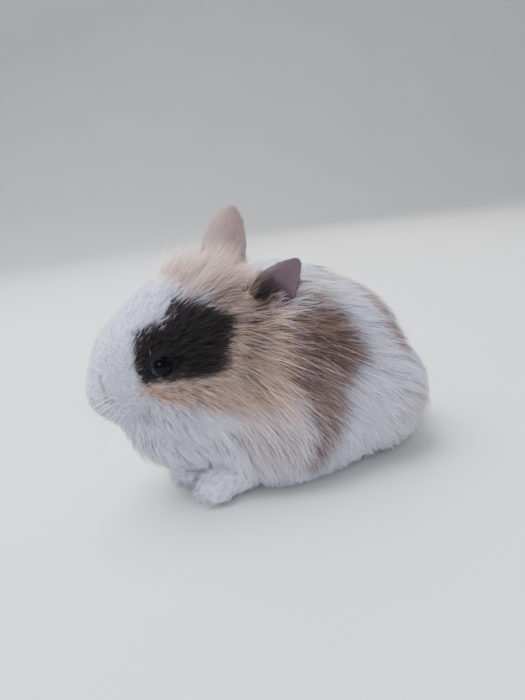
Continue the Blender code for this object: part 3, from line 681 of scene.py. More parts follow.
def part_of(points):
    """The number of the part that each place of the skin belongs to: the one with the least distance."""
    gaps = [np.abs(bare(points))]
    gaps += [gap_to(points, rings[::2, ::2].reshape(-1, 3), 9.0) for rings in ears.values()]
    for centre, radii in PAWS.values():
        gaps.append(np.abs(from_paw(points, centre, radii, PAW_COAT)))
    gaps.append(np.abs(ellipsoid(points, TAIL_AT, np.array(TAIL) - TAIL_COAT)))
    return np.argmin(gaps, 0)


skin_points = mesh_points(skin.data)
skin_parts = part_of(skin_points)
print("points of each part:", dict(zip(PARTS, np.bincount(skin_parts, minlength=len(PARTS)).tolist())))

# %% Places on an ear


def ear_places(points, ear):
    """Where places lie on an ear: their share of its length, how far across, and how far out of the cup."""
    root, length, along, side, facing = ear_axes(ear)
    step = points - root
    share = step @ along / length
    half = np.maximum(1, ear[3] * np.sin(math.pi * np.clip(0.1 + 0.9 * share, 0.05, 0.95)) ** ear[4])
    across = np.clip(step @ side / half, -1.2, 1.2)
    return share, across, step @ facing - (0.75 - 0.4 * np.clip(share, 0, 1)) * half * across**2


def on_ears(points, parts):
    """For each ear: its name, which places belong to it, and where they lie on it."""
    for number, (name, ear) in enumerate(EARS.items(), 1):
        on = parts == number
        yield name, on, *ear_places(points[on], ear)


for name, on, share, across, out in on_ears(skin_points, skin_parts):
    print(name, "points:", int(on.sum()), "share of the length:", share.min().round(2), share.max().round(2))

# %% Colours by part


def colours_of(points, parts, stray=0.0):
    """The hair's colour at each place of the skin, by its part."""
    colour = markings(points, stray)
    for name, on, share, across, out in on_ears(points, parts):
        tint = np.where((out > 0)[:, None], EAR_INSIDE, EAR_BACK)
        rim = soft(np.abs(across) - 0.62, 0.4)[:, None] * np.where(name == "ear_left", across < 0, 1)[:, None]
        tint = tint + (EAR_RIM - tint) * rim * 0.9
        # painted shade deep in the cup near the ear's root
        dark = (soft(0.32 - share, 0.25) * (out > 0) * soft(0.7 - np.abs(across), 0.4))[:, None]
        tint = tint + (CREASE_SHADE - tint) * dark
        foot = np.where(((name == "ear_left") & (across > 0))[:, None], EAR_INSIDE, FAWN)
        blend = soft(0.12 - share, 0.2) * ((out <= 0) | (np.abs(across) > 0.6))
        colour[on] = tint + (foot - tint) * blend[:, None]
    colour[parts >= FIRST_PAW] = WHITE_HAIR
    return colour


def paint(mesh, colours):
    """Puts colours in linear light on a mesh's points, as the attribute hair_colour."""
    rgba = np.ones((len(mesh.vertices), 4), np.float32)
    rgba[:, :3] = colours
    mesh.attributes.new("hair_colour", "FLOAT_COLOR", "POINT").data.foreach_set("color", rgba.ravel())


print("mean colour of the skin:", colours_of(skin_points[::50], skin_parts[::50]).mean(0).round(3))

# %% [markdown]
# ## Roots of the tufts
# Tufts must stand as evenly as real follicles. Random points clump; a grid shows. Here the triangles of the skin
# are put in an order that keeps neighbours together, their areas are added up along it, and roots are taken at
# equal steps of that sum.

# %% Even roots


def corners(mesh):
    """A triangle mesh's corner numbers, three to a row."""
    index = np.empty(len(mesh.loops), np.int32)
    mesh.loops.foreach_get("vertex_index", index)
    return index.reshape(-1, 3)


def curve_place(points, cell=1.5):
    """Each point's place on a curve that fills space: the bits of its three whole-number steps, interleaved."""
    grid = ((points - points.min(0)) / cell).astype(np.int64)
    place = np.zeros(len(points), np.int64)
    for bit in range(8):
        for axis in range(3):
            place |= ((grid[:, axis] >> bit) & 1) << (3 * bit + axis)
    return place


triangles = corners(skin.data)
tri = skin_points[triangles]
tri_cross = np.cross(tri[:, 1] - tri[:, 0], tri[:, 2] - tri[:, 0])
tri_area = np.linalg.norm(tri_cross, axis=1) / 2
tri_normal = unit(tri_cross)
tri_centre = tri.mean(1)
tri_part = part_of(tri_centre)
tri_depth = coat_depth(tri_centre)
tri_head = head_share(tri_centre)
print("skin area in square mm:", int(tri_area.sum()))

# %% Where no root may be


def around_eye(points, margin):
    """Whether places lie on the lids or over the opening of an eye, with a margin in degrees."""
    hit = np.zeros(len(points), bool)
    h = into_head(points)
    for side in EYE_AT:
        centre, out, forward, up = eye_axes(side)
        step = h - centre
        far = np.linalg.norm(step, axis=1)
        tilt = np.degrees(np.arccos(np.clip(step @ out / np.maximum(far, 1e-6), -1, 1)))
        turn = np.arctan2(step @ up, step @ forward)
        hit |= (far < EYE_RADIUS + 4) & (tilt < opening(turn) + margin)
    return hit


in_groove = np.min([gap_to(tri_centre, line, 3.0) for line in face_lines.values()], 0)
tri_free = ~around_eye(tri_centre, 5.0) & (tri_centre[:, 2] > 0.9)
print("share of the skin that may carry roots:", (tri_area[tri_free].sum() / tri_area.sum()).round(3))


def roots_on(chosen, count, draw):
    """Roots and normals on the chosen triangles, at equal steps of their summed area, with a little chance."""
    chosen = np.nonzero(chosen)[0]
    chosen = chosen[np.argsort(curve_place(tri_centre[chosen]), kind="stable")]
    total = np.cumsum(tri_area[chosen])
    pick = (np.arange(count) + draw.random(count)) / count * total[-1]
    face = chosen[np.minimum(np.searchsorted(total, pick), len(chosen) - 1)]
    a, b = draw.random((2, count, 1))
    over = a + b > 1
    a, b = np.where(over, 1 - a, a), np.where(over, 1 - b, b)
    corner, one, other = tri[face].transpose(1, 0, 2)
    return corner + a * (one - corner) + b * (other - corner), tri_normal[face], tri_part[face]


# %% [markdown]
# ## How hair grows
# A tuft starts on the skin, rises through the coat and then lies along it, back from the nose and down the
# flanks. A guide is one such path; the coat keeps it near the surface of the tips, and it stops short of the
# eyes, ears and paws. Around each guide stands a clump of thin strands that draw together towards its tip, as
# soft hair does. Particle hair would be easier, but only solid mesh can be kept with the model.

# %% What stops a guide
STATIONS = 7
SHORT_BEFORE_CUP = 0.3  # the share of its length that hair before the laid-back ear's cup keeps
SHORTEST = 0.2  # a guide that would keep less of its length is left out
EYE_MARGIN, EAR_CLEAR, PAW_OVERLAP = 3.0, 1.3, 0.4  # degrees and mm
ear_cloud = np.concatenate([rings[::3, ::3].reshape(-1, 3) for rings in ears.values()])


def before_cup(points, parts):
    """Whether places stand before the open cup of the laid-back ear, where long hair would hide it."""
    share, across, out = ear_places(points, EARS["ear_left"])
    return (parts == 0) & (share > 0.02) & (share < 1) & (np.abs(across) < 0.8) & (out > 0) & (out < 9)


def blocked(points, parts):
    """Whether places on a guide are over an eye, or run into an ear or a paw that isn't the guide's own."""
    hit = around_eye(points, EYE_MARGIN)
    hit |= (gap_to(points, ear_cloud, 2.0) < EAR_CLEAR) & (parts == 0)
    hit |= before_cup(points, parts)
    for paw in PAWS.values():
        hit |= (from_paw(points, *paw) < -PAW_OVERLAP) & (parts == 0)
    return hit


print("share of the skin where guides stop:", blocked(skin_points[::50], skin_parts[::50]).mean().round(3))

# %% Guides
ROOT_SUNK, SWAY = 0.3, 9  # mm below the skin, and degrees that a guide turns aside
LOWEST, EASE = 0.6, 1.4  # hair near the floor is eased to this height, over this much above it


def way_of(points, parts):
    """The lie of the hair by part: the body's own, towards an ear's tip, towards the toes, or up the tail."""
    way = lie(points)
    for number, ear in enumerate(EARS.values(), 1):
        way[parts == number] = ear_axes(ear)[2]
    way[parts >= FIRST_PAW] = unit(np.array((-1.0, 0.0, -0.35)))
    way[parts == TAIL_PART] = unit(np.array((0.5, 0.0, 1.0)))
    return way


def guides(roots, normals, parts, length, rise, lift, sway):
    """Stations of each guide. Each step goes along the lie in the surface's plane, then to its level: from the
    root's depth up to the tips by a power of what is left of the rise, and off them by the lift at its end."""
    at, normal = roots - normals * ROOT_SUNK, normals.copy()
    body = parts == 0
    sink = np.where(body, field(at), 0.0)
    path = [at]
    for step in range(1, STATIONS):
        share = step / (STATIONS - 1)
        way = way_of(at, parts)
        way = unit(way - normal * (way * normal).sum(1, keepdims=True))
        way = way * np.cos(sway)[:, None] + np.cross(normal, way) * np.sin(sway)[:, None]
        at = at + way * (length / (STATIONS - 1))[:, None]
        level = sink * np.maximum(0, 1 - share / rise) ** 1.3 + lift * share**2
        at[body] += normal[body] * (level[body] - field(at[body]))[:, None]
        at[~body] += normal[~body] * (lift[~body] / (STATIONS - 1))[:, None]
        normal[body] = outward(at[body])
        over = at[:, 2] - LOWEST - EASE
        at[:, 2] = np.where(over > 0, at[:, 2], LOWEST + EASE * np.exp(over / EASE))
        path.append(at)
    return np.stack(path, 1)


def grown(roots, normals, parts, length, rise, lift, draw):
    """Guides that end before what blocks them, the way each one's surface faces, which of the roots are kept,
    and the share of its length that each keeps."""
    sway = np.radians(draw.normal(0, SWAY, len(roots)))
    path = guides(roots, normals, parts, length, rise, lift, sway)
    open_way = ~blocked(path.reshape(-1, 3), np.repeat(parts, STATIONS)).reshape(-1, STATIONS)
    reach = np.where(open_way.all(1), 1.0, (np.argmin(open_way, 1) - 1) / (STATIONS - 1))
    reach[before_cup(path[:, 0], parts)] = SHORT_BEFORE_CUP
    kept = reach > SHORTEST
    length, lift = length * reach, lift * reach
    path = guides(roots[kept], normals[kept], parts[kept], length[kept], rise, lift[kept], sway[kept])
    facing = np.where((parts[kept] == 0)[:, None], outward(path[:, STATIONS // 2]), normals[kept])
    return path, facing, kept, reach[kept]


# %% Strands
LEAN = 0.42  # how far a needle's shading normals lean to the surface's
LONG_ONES = 0.07  # the share of strands that outgrow their guide
FLATNESS = 0.6  # a needle's thickness over its width
TWIST = 0.35  # how much chance there is in the way a needle's flat side faces


def strands(path, normal, count, radius, width, pinch, frizz, segments, draw):
    """Thin three-sided needles round each guide, with normals that lean to the surface's so that the coat takes
    the light as a soft whole. A strand's middle is its guide's, read at its own share of the length, plus an
    offset on a disc that shrinks towards the tip, plus a curl that grows with the square."""
    paths = len(path)
    share = np.linspace(0, 1, segments + 1) ** 0.85
    own = np.where(draw.random((paths, count)) < LONG_ONES, draw.uniform(1.0, 1.22, (paths, count)),
                   draw.uniform(0.6, 1.02, (paths, count)))
    place = share * own[..., None] * (STATIONS - 1)
    low = np.minimum(place.astype(int), STATIONS - 2)
    part = (place - low)[..., None]
    rows = np.arange(paths)[:, None, None]
    middle = path[rows, low] * (1 - part) + path[rows, low + 1] * part
    way = unit(path[:, 1] - path[:, 0])
    side = unit(np.cross(way, normal))
    over = np.cross(side, way)
    turn = draw.uniform(0, 2 * math.pi, (paths, count))
    disc = radius[:, None] * np.sqrt(draw.random((paths, count)))
    closer = 1 - pinch * share**1.2
    offset = (side[:, None] * (disc * np.cos(turn))[..., None] + way[:, None] * (disc * np.sin(turn))[..., None])
    curl = draw.normal(0, 1, (paths, count, 2)) * frizz
    bend = side[:, None] * curl[..., :1] + over[:, None] * np.abs(curl[..., 1:]) * 0.6
    middle = middle + offset[:, :, None] * closer[:, None] + bend[:, :, None] * (share**2)[:, None]
    middle[..., 2] = np.maximum(middle[..., 2], 0.7)
    ahead = unit(np.gradient(middle, axis=2))
    flat = unit(np.cross(ahead, normal[:, None, None] + draw.normal(0, TWIST, (paths, count, 1, 3))))
    rise = np.cross(ahead, flat)
    taper = (np.minimum(1, 0.65 + share) * (1 - share) ** 0.75)[:segments, None]
    wide = (width[:, None] * draw.uniform(0.7, 1.25, (paths, count)))[..., None, None] / 2 * taper
    around = np.array((0, 2, 4)) * math.pi / 3  # a needle's three corners
    flat, rise = flat[:, :, :segments, None], rise[:, :, :segments, None]
    out = flat * np.cos(around)[:, None] + rise * np.sin(around)[:, None]
    ring = (middle[:, :, :segments, None] + flat * (wide * np.cos(around))[..., None]
            + rise * (wide * FLATNESS * np.sin(around))[..., None])
    needles = np.concatenate([ring.reshape(paths, count, segments * 3, 3), middle[:, :, -1:]], 2)
    leaned = unit(normal[:, None, None, None] * LEAN + out * (1 - LEAN)).reshape(paths, count, -1, 3)
    leaned = np.concatenate([leaned, np.broadcast_to(normal[:, None, None], (paths, count, 1, 3))], 2)
    shape = (paths * count, segments * 3 + 1, 3)
    return needles.reshape(shape), leaned.reshape(shape)


# %% Triangles of a needle


def needle_faces(segments):
    """The triangles of one closed needle: its base, two to each side of each segment, and three at its tip."""
    faces = [(2, 1, 0)]
    for i in range(segments - 1):
        for k in range(3):
            a, b, c, d = 3 * i + k, 3 * i + (k + 1) % 3, 3 * i + 3 + (k + 1) % 3, 3 * i + 3 + k
            faces += [(a, b, c), (a, c, d)]
    last = 3 * (segments - 1)
    return np.array(faces + [(last + k, last + (k + 1) % 3, last + 3) for k in range(3)])


print("triangles of a needle of two segments:", len(needle_faces(2)))

# %% [markdown]
# ## Coat pieces
# A coat piece is one mesh of many needles. Each needle carries its hair's colour on its points, and a small
# patch of the map OFBake at its root's place on an unwrap of the skin: the turn round the part's long axis one
# way, the place along it the other way.

# %% Places on the map
PATCH = 0.003  # the side of a tuft's patch on the map


def filled(flat):
    """Places on the map, spread so that they fill it, with a patch's width left free all round."""
    low, high = flat.min(0), flat.max(0)
    return PATCH + (flat - low) / np.maximum(high - low, 1e-6) * (1 - 2 * PATCH)


def unwrap(roots, parts):
    """Places of roots on a flat map of the skin: the turn round the body's, head's, ear's or paw's own axis,
    and the place along it."""
    def turn_and_along(step):
        return np.stack([np.arctan2(step[:, 1], -step[:, 2]) / (2 * math.pi) + 0.5, step[:, 0]], 1)

    flat = turn_and_along(roots - (0, 0, 45))
    head = (head_share(roots) > 0.5) & (parts == 0)
    flat[head] = turn_and_along(into_head(roots[head]))
    for name, on, share, across, out in on_ears(roots, parts):
        turn = np.arctan2(out, across) / (2 * math.pi) + 0.5 + (name == "ear_right")
        flat[on] = np.stack([turn / 2, share], 1)
    for number, (centre, radii) in enumerate(PAWS.values()):
        on = parts == FIRST_PAW + number
        paw = turn_and_along(roots[on] - centre)
        flat[on] = np.stack([(paw[:, 0] + number) / len(PAWS), paw[:, 1] / radii[0]], 1)
    return flat


print("lowest place on the map:", filled(unwrap(skin_points, skin_parts)).min(0))

# %% Needles to a mesh
# Painted shade darkens each strand towards its root, where the coat shadows it, and painted light brightens its
# tip.
ROOT_PAINTED_SHADE, TIP_PAINTED_LIGHT = 0.66, 1.12  # a strand is darker at its root and lighter at its tip


def coat_piece(name, needles, normals, colours, flat, segments):
    """An object of needles, with the attribute hair_colour on its points and the map OFBake on its corners."""
    count, points = needles.shape[:2]
    faces = (needle_faces(segments)[None] + np.arange(count)[:, None, None] * points).reshape(-1, 3)
    mesh = bpy.data.meshes.new(name)
    mesh.vertices.add(count * points)
    mesh.vertices.foreach_set("co", ((needles + SHIFT) * MM).astype(np.float32).ravel())
    mesh.loops.add(faces.size)
    mesh.loops.foreach_set("vertex_index", faces.astype(np.int32).ravel())
    mesh.polygons.add(len(faces))
    mesh.polygons.foreach_set("loop_start", np.arange(0, faces.size, 3, dtype=np.int32))
    mesh.polygons.foreach_set("use_smooth", np.ones(len(faces), bool))
    mesh.update()
    mesh.normals_split_custom_set_from_vertices(normals.reshape(-1, 3).astype(np.float32))
    # painted shade at each needle's root, painted light at its tip
    shade = np.linspace(ROOT_PAINTED_SHADE, TIP_PAINTED_LIGHT, segments + 1)[[*np.repeat(np.arange(segments), 3), segments]]
    paint(mesh, np.clip(colours[:, None] * shade[:, None], 0, 1).reshape(-1, 3))
    corner = np.tile(np.array(((-0.5, -0.5), (0.5, -0.5), (0.0, 0.5))), (segments, 1))
    corner[:, 1] = corner[:, 1] * 0.3 + np.repeat(np.linspace(-0.35, 0.2, segments), 3)
    corner = np.concatenate([corner, [(0.0, 0.5)]]) * PATCH
    uv = mesh.uv_layers.new(name="OFBake")
    uv.data.foreach_set("uv", (flat[:, None] + corner).reshape(-1, 2)[faces.ravel()].astype(np.float32).ravel())
    return shown(name, mesh)


# %% [markdown]
# ## The coat by zones
# Hair is shortest and finest on the muzzle, longer on the crown, cheeks and body. One setting for all would be
# simpler, but each zone here has its own number of clumps, strands in a clump, and sizes; together they stay
# within what a shared model may hold.

# %% Zones
FREE_BODY = (tri_part == 0) & tri_free
ON_HEAD = FREE_BODY & (tri_head > 0.5)
head_x, head_z = into_head(tri_centre)[:, [0, 2]].T
ON_TOP = ON_HEAD & (head_x > -5) & (head_x < 15) & (head_z > 20) & (tri_depth > 3)
ZONES = {  # where, clumps, strands in each, segments, clump radius, width, pinch, frizz, lift
    "muzzle": (ON_HEAD & (tri_depth < 3.3) & (in_groove > 0.4), 3700, 5, 2, 0.6, 0.22, 0.15, 0.2, 0.1),
    "crown": (ON_HEAD & (tri_depth >= 3.3) & (tri_depth < 6.8), 2200, 8, 2, 1.3, 0.28, 0.3, 0.5, 0.5),
    "forelock": (ON_TOP, 460, 9, 3, 1.5, 0.2, 0.2, 2.0, 11.0),
    "fuzz": (ON_HEAD, 1400, 3, 2, 1.2, 0.14, 0.1, 0.8, 2.3),
    "cheeks": (ON_HEAD & (tri_depth >= 6.8), 2100, 10, 2, 2.0, 0.3, 0.42, 0.9, 0.8),
    "body": (FREE_BODY & ~ON_HEAD, 5700, 11, 2, 2.5, 0.37, 0.45, 1.3, 1.2),
    "ears": ((tri_part > 0) & (tri_part < FIRST_PAW), 1900, 5, 2, 0.6, 0.22, 0.2, 0.2, 0.4),
    "paws": ((tri_part >= FIRST_PAW) & (tri_part < TAIL_PART) & tri_free, 1400, 7, 2, 0.8, 0.26, 0.3, 0.7, 1.8),
    "tail": ((tri_part == TAIL_PART) & tri_free, 220, 12, 2, 1.6, 0.36, 0.45, 0.8, 4.0),
}
STANDING = ("forelock", "fuzz")  # zones whose every tuft stands off the coat by the lift
SLICES = {"body": ("neck", "shoulders", "ribs", "loins", "haunches"), "cheeks": ("cheek_left", "cheek_right")}
LENGTHS = {"ears": 2.8, "paws": 5.0, "tail": 11.0, "forelock": 15.0}
EAR_FOOT_HAIR, EAR_FOOT_LIFT = 6.0, 3.0  # how much longer and higher hair stands at an ear's foot
RISE = 0.55  # the share of its length in which a guide comes up through the coat
print("clumps:", {zone: row[1] for zone, row in ZONES.items()})

# %% Length and colour of a strand
SEEN_AT = 0.6  # the share of a strand that others leave in sight, where its colour has to be right
TICKED, PALE_TIP = 0.12, 0.45  # the share of strands that differ, and how far to white the pale ones go
BROWN_GLINT = np.array((0.035, 0.026, 0.022))  # added to ticked strands of the black patch


def lengths(zone, roots, parts):
    """A guide's length from the coat's depth at its root, or the zone's own, longer at an ear's foot."""
    depth = coat_depth(roots)
    grow = depth * (1.5 + 0.8 * np.clip((depth - 5) / 5, 0, 1))
    if zone in LENGTHS:
        grow = np.full(len(roots), LENGTHS[zone])
    for _, on, share, *_ in on_ears(roots, parts):
        grow[on] += EAR_FOOT_HAIR * soft(0.28 - share, 0.3)
        grow[on] *= 1 - 0.6 * soft(share - 0.75, 0.3)
    return grow


def strand_colours(base, tips, owner, each, draw):
    """The marking where a strand is in sight, its edges strayed and its tone varied by clump and by strand,
    the darker the more. Some fawn and brown strands are paler, and some black ones browner."""
    count = len(base)
    stray = np.repeat(draw.normal(0, 1.0, count // each), each) + draw.normal(0, 1.1, count)
    colours = colours_of(base + (tips - base) * SEEN_AT, owner, stray)
    light = np.repeat(draw.normal(0, 0.12, count // each), each) + draw.normal(0, 0.13, count)
    mean = colours.mean(1)
    pale = (draw.random(count) < TICKED) & (mean > 0.08) & (mean < 0.62) & (owner == 0)
    colours[pale] += (WHITE_HAIR - colours[pale]) * PALE_TIP
    colours = colours * (1 + light * (0.75 + 1.4 * (1 - mean)))[:, None]
    colours[(colours.mean(1) < 0.05) & (draw.random(count) < TICKED)] += BROWN_GLINT
    return colours


# %% Sow the coat
coats = []
thin_out = 1
for number, (zone, (where, clumps, each, segments, *sizes, lift)) in enumerate(ZONES.items()):
    draw = np.random.default_rng(100 + number)
    roots, normals, parts = roots_on(where, clumps // thin_out, draw)
    length = lengths(zone, roots, parts) * draw.uniform(0.85, 1.15, len(roots))
    stands = zone in LENGTHS or zone in STANDING
    tip = lift * (draw.uniform(0.4, 1.3, len(roots)) if stands else draw.normal(0.3, 1.0, len(roots)))
    for _, on, share, *_ in on_ears(roots, parts):
        tip[on] += EAR_FOOT_LIFT * soft(0.28 - share, 0.3)
    path, facing, kept, reach = grown(roots, normals, parts, length, RISE, tip, draw)
    size = np.sqrt(reach)
    radius, width, pinch, frizz = sizes
    needles, leaned = strands(path, facing, each, radius * size, width * size, pinch, frizz, segments, draw)
    base, owner = needles[:, :3].mean(1), np.repeat(parts[kept], each)
    colours = strand_colours(base, needles[:, -1], owner, each, draw)
    flat = unwrap(base, owner)
    slices = SLICES.get(zone, (zone,))
    key = base[:, 1] if zone == "cheeks" else base[:, 0]
    for name, some in zip(slices, np.array_split(np.argsort(key, kind="stable"), len(slices))):
        rows = (part[some] for part in (needles, leaned, colours))
        coats.append(coat_piece("coat_" + name, *rows, filled(flat[some]), segments))
        print(coats[-1].name, len(some), "strands", len(coats[-1].data.polygons), "triangles")

# %% [markdown]
# ## Eyes
# A rabbit's eye is a dark wet ball: a wide black pupil, a narrow blue-grey iris and a clear bulging cornea. One
# grid with its pole on the eye's axis gives the ball and its bulge, and each point keeps its angle from the axis
# so that the colours follow the eye.

# %% Eyeballs
BALL_GAP, BULGE, BULGE_WIDE = 0.02, 0.45, 27  # mm, mm and degrees from the axis


def eyeball(side, rows=56, columns=64):
    """Rings about the eye's axis at the ball's radius, plus a bulge that falls off as a bell curve."""
    tilt = np.linspace(0.5, 179.5, rows)[:, None]
    turn = even_turns(columns)[None]
    radius = EYE_RADIUS - BALL_GAP + BULGE * np.exp(-((tilt / BULGE_WIDE) ** 2)) + 0 * turn
    return about_eye(side, turn, np.radians(tilt), radius), tilt + 0 * turn


eyes = {}
for side in EYE_AT:
    rings, tilt = eyeball(side)
    eyes[side] = piece("eyeball_" + side, *gathered([rings]))
    angle = eyes[side].data.attributes.new("off_axis", "FLOAT", "POINT")
    angle.data.foreach_set("value", (tilt / 90).astype(np.float32).ravel())
print("eyes:", [eye.name for eye in eyes.values()])

# %% [markdown]
# ## Whiskers and claws
# Whiskers are stiff, pale and tapered, and fan out from the pads beside the nose; one stands over each eye.
# Claws are small horn hooks at the toes. Both are a round profile carried along a bent path and drawn to a
# point.

# %% Tapered tubes
TAPER = 0.93  # the share of its radius that a tube loses towards its tip


def tubes(starts, ways, bends, length, radius, rows, columns=6):
    """Tapered tubes: each middle line leaves its start along its way and bends by the square of the share."""
    share = np.linspace(0, 1, rows)
    middle = starts[:, None] + length[:, None, None] * (
        ways[:, None] * share[:, None] + bends[:, None] * (share**2)[:, None])
    ahead = unit(np.gradient(middle, axis=1))
    side = unit(np.cross(ahead, np.array((0.13, 0.21, 0.97))))
    over = np.cross(ahead, side)
    turn = even_turns(columns)
    thick = (radius * (1 - TAPER * share**1.2))[..., None, None]
    around = side[:, :, None] * np.cos(turn)[:, None] + over[:, :, None] * np.sin(turn)[:, None]
    return middle[:, :, None] + thick * around


# %% Whiskers, twelve to a side in four rows, and a brow hair
WHISKERS, ROWS, WHISKER_SUNK = 12, 4, 0.8
WHISKER_RADIUS, BROW_RADIUS, BROW_LONG = 0.12, 0.07, 7.0

draw = np.random.default_rng(7)
whisker_rings = []
for side in (-1, 1):
    rank = np.arange(WHISKERS)
    row, place = rank % ROWS, rank // ROWS
    rays = head_rays(side * (9 + 3.4 * place + 0.8 * row) - 2, -5.5 - 3.8 * row - 0.8 * place)
    starts = along_rays(HEAD_AT, rays, bare) - rays * WHISKER_SUNK
    out = (0.3 + 0.06 * place) if side < 0 else (0.75 + 0.08 * place)  # the left ones lie closer to the face
    ways = np.stack([-0.92 + 0.05 * place, side * out, (0.02 if side < 0 else 0.14) - 0.19 * row], 1)
    ways = unit(ways + draw.normal(0, 0.04, (WHISKERS, 3)))
    bends = (0.03, 0, -0.08) + draw.normal(0, 0.03, (WHISKERS, 3))
    size = draw.uniform(0.8, 1.05, WHISKERS) * (25 + 2.5 * place)
    whisker_rings += list(tubes(starts, ways, bends, size, WHISKER_RADIUS, 12))
    brow = from_head(np.array([(-23.0, side * 16.5, 4.5)]))
    up = unit(np.array([(0.14, side * 0.3, 0.95)])) @ HEAD_TURN.T
    whisker_rings += list(tubes(brow, up, np.zeros((1, 3)), np.array((BROW_LONG,)), BROW_RADIUS, 12))
whiskers = piece("whiskers", *gathered(whisker_rings))

# %% Claws, one to a toe
CLAW_LONG, CLAW_RADIUS, CLAW_BEND = 3.9, 0.65, (0, 0, -0.32)

claw_rings = []
for centre, radii in PAWS.values():
    toes = np.array([at for at, _ in paw_balls(centre, radii)[1:]])
    starts = toes + (-radii[0] * 0.22, 0, -0.8)
    ways, bends = (np.tile(way, (len(toes), 1)) for way in (unit(np.array((-1.0, 0.0, -0.18))), CLAW_BEND))
    claw_rings += list(tubes(starts, ways, bends, np.full(len(toes), CLAW_LONG), CLAW_RADIUS, 9, 10))
claws = piece("claws", *gathered(claw_rings))
print("whiskers:", len(whisker_rings), "claws:", len(claw_rings))

# %% [markdown]
# ## Materials
# Real hair is a clear sheath round a coloured core: it shines weakly along its length and glows at its edge.
# A hair shader would need curves, so a plain one with a weak gloss and a sheen stands for it here. The skin
# below is pink, but all that shows of it is short down in the coat's own colours. Each colour comes from the
# attribute that carries the markings, and fine noise breaks it up.

# %% Helpers for nodes


def new_material(name, **sockets):
    """A material with one Principled shader, whose own sockets hold the given numbers and colours."""
    material = bpy.data.materials.new(name)
    material.use_nodes = True
    shader = material.node_tree.nodes["Principled BSDF"]
    for socket, value in sockets.items():
        shader.inputs[socket.replace("_", " ")].default_value = value
    return material, shader


def node(material, kind, links=(), settings=(), **values):
    """Adds a node: settings are its properties, values its inputs by name, links its inputs from sockets."""
    made = material.node_tree.nodes.new("ShaderNode" + kind)
    for key, value in dict(settings).items():
        setattr(made, key, value)
    for key, value in values.items():
        made.inputs[key.replace("_", " ")].default_value = value
    for target, source in dict(links).items():
        material.node_tree.links.new(source, made.inputs[target])
    return made


def feed(material, source, target):
    """Links one socket to another."""
    material.node_tree.links.new(source, target)


def speckled(material, shader, colour, noise, low, high):
    """Feeds the base colour: a colour socket times a level from low to high that the noise gives."""
    span = {"From_Min": 0.3, "From_Max": 0.7, "To_Min": low, "To_Max": high}
    level = node(material, "MapRange", {"Value": noise.outputs["Fac"]}, **span)
    shade = node(material, "VectorMath", {0: colour, 1: level.outputs["Result"]}, {"operation": "MULTIPLY"})
    feed(material, shade.outputs["Vector"], shader.inputs["Base Color"])


def cloud_of(material, waves, detail):
    """Noise of so many waves a metre, fixed to the object."""
    place = node(material, "TexCoord")
    return node(material, "TexNoise", {"Vector": place.outputs["Object"]}, Scale=waves, Detail=detail)


def clouded(material, shader, waves, detail, *codes):
    """Feeds the base colour: a mix of two colours by such noise."""
    one, other = ((*linear(code), 1) for code in codes)
    cloud = cloud_of(material, waves, detail)
    level = node(material, "MixRGB", {"Fac": cloud.outputs["Fac"]}, Color1=one, Color2=other)
    feed(material, level.outputs["Color"], shader.inputs["Base Color"])


# %% Rabbit hair: keratin needles, soft and only a little glossy
HAIR_WAVES = 900.0  # a metre: patches of about a millimetre, so that neighbouring strands differ
SOFT_HAIR = {"Roughness": 0.62, "IOR": 1.55, "Specular_IOR_Level": 0.25}

hair, shader = new_material("rabbit_hair", Sheen_Weight=0.25, Sheen_Roughness=0.5, **SOFT_HAIR)
tint = node(hair, "Attribute", settings={"attribute_name": "hair_colour"})
speckled(hair, shader, tint.outputs["Color"], cloud_of(hair, HAIR_WAVES, 2.0), 0.9, 1.06)
print(hair.name, len(hair.node_tree.nodes), "nodes")

# %% Skin with very short down: the bump runs along the lie of the hair
DOWN_DEPTH = 0.0004  # metres: down lies a little under half a millimetre thick

skin_look, shader = new_material("downy_skin", Roughness=0.75, Specular_IOR_Level=0.2, Sheen_Weight=0.3)
tint = node(skin_look, "Attribute", settings={"attribute_name": "hair_colour"})
comb = node(skin_look, "Attribute", settings={"attribute_name": "combed"})
grain = node(skin_look, "TexNoise", {"Vector": comb.outputs["Vector"]}, Scale=1.0, Detail=3.0)
speckled(skin_look, shader, tint.outputs["Color"], grain, 0.86, 1.05)
raised = node(skin_look, "Bump", {"Height": grain.outputs["Fac"]}, Strength=0.5, Distance=DOWN_DEPTH)
feed(skin_look, raised.outputs["Normal"], shader.inputs["Normal"])
print(skin_look.name, len(skin_look.node_tree.nodes), "nodes")

# %% Wet eye: black pupil, blue-grey iris, clear tear film
IRIS_WAVES = 2200.0  # a metre: fibres about half a millimetre apart
EYE_BANDS = [(0.0, "#020203"), (0.33, "#030304"), (0.40, "#191C26"), (0.50, "#333B4C"),
             (0.60, "#0F1016"), (0.75, "#0A0A0D")]  # share of a right angle off the axis: pupil, iris, rim

eye_look, shader = new_material("wet_eye", Roughness=0.04, IOR=1.34, Specular_IOR_Level=0.22)
angle = node(eye_look, "Attribute", settings={"attribute_name": "off_axis"})
bands = node(eye_look, "ValToRGB", {"Fac": angle.outputs["Fac"]})
ramp = bands.color_ramp.elements
for i, (where, code) in enumerate(EYE_BANDS):
    stop = ramp[i] if i < 2 else ramp.new(where)
    stop.position, stop.color = where, (*linear(code), 1)
speckled(eye_look, shader, bands.outputs["Color"], cloud_of(eye_look, IRIS_WAVES, 3.0), 0.75, 1.2)
print(eye_look.name, len(eye_look.node_tree.nodes), "nodes")

# %% Whisker keratin, pale and glossy, and claw horn, darker and cloudy
WHISKER_WAVES, HORN_WAVES = 120.0, 700.0  # a metre: tones 8 mm long on a whisker and 1.4 mm on a claw

whisker_look, shader = new_material("whisker_keratin", Roughness=0.3)
clouded(whisker_look, shader, WHISKER_WAVES, 1.0, "#E4E1DE", "#FAF9F7")
claw_look, shader = new_material("claw_horn", Roughness=0.35)
clouded(claw_look, shader, HORN_WAVES, 2.0, "#8A7468", "#C7B3A4")
print(whisker_look.name, claw_look.name)

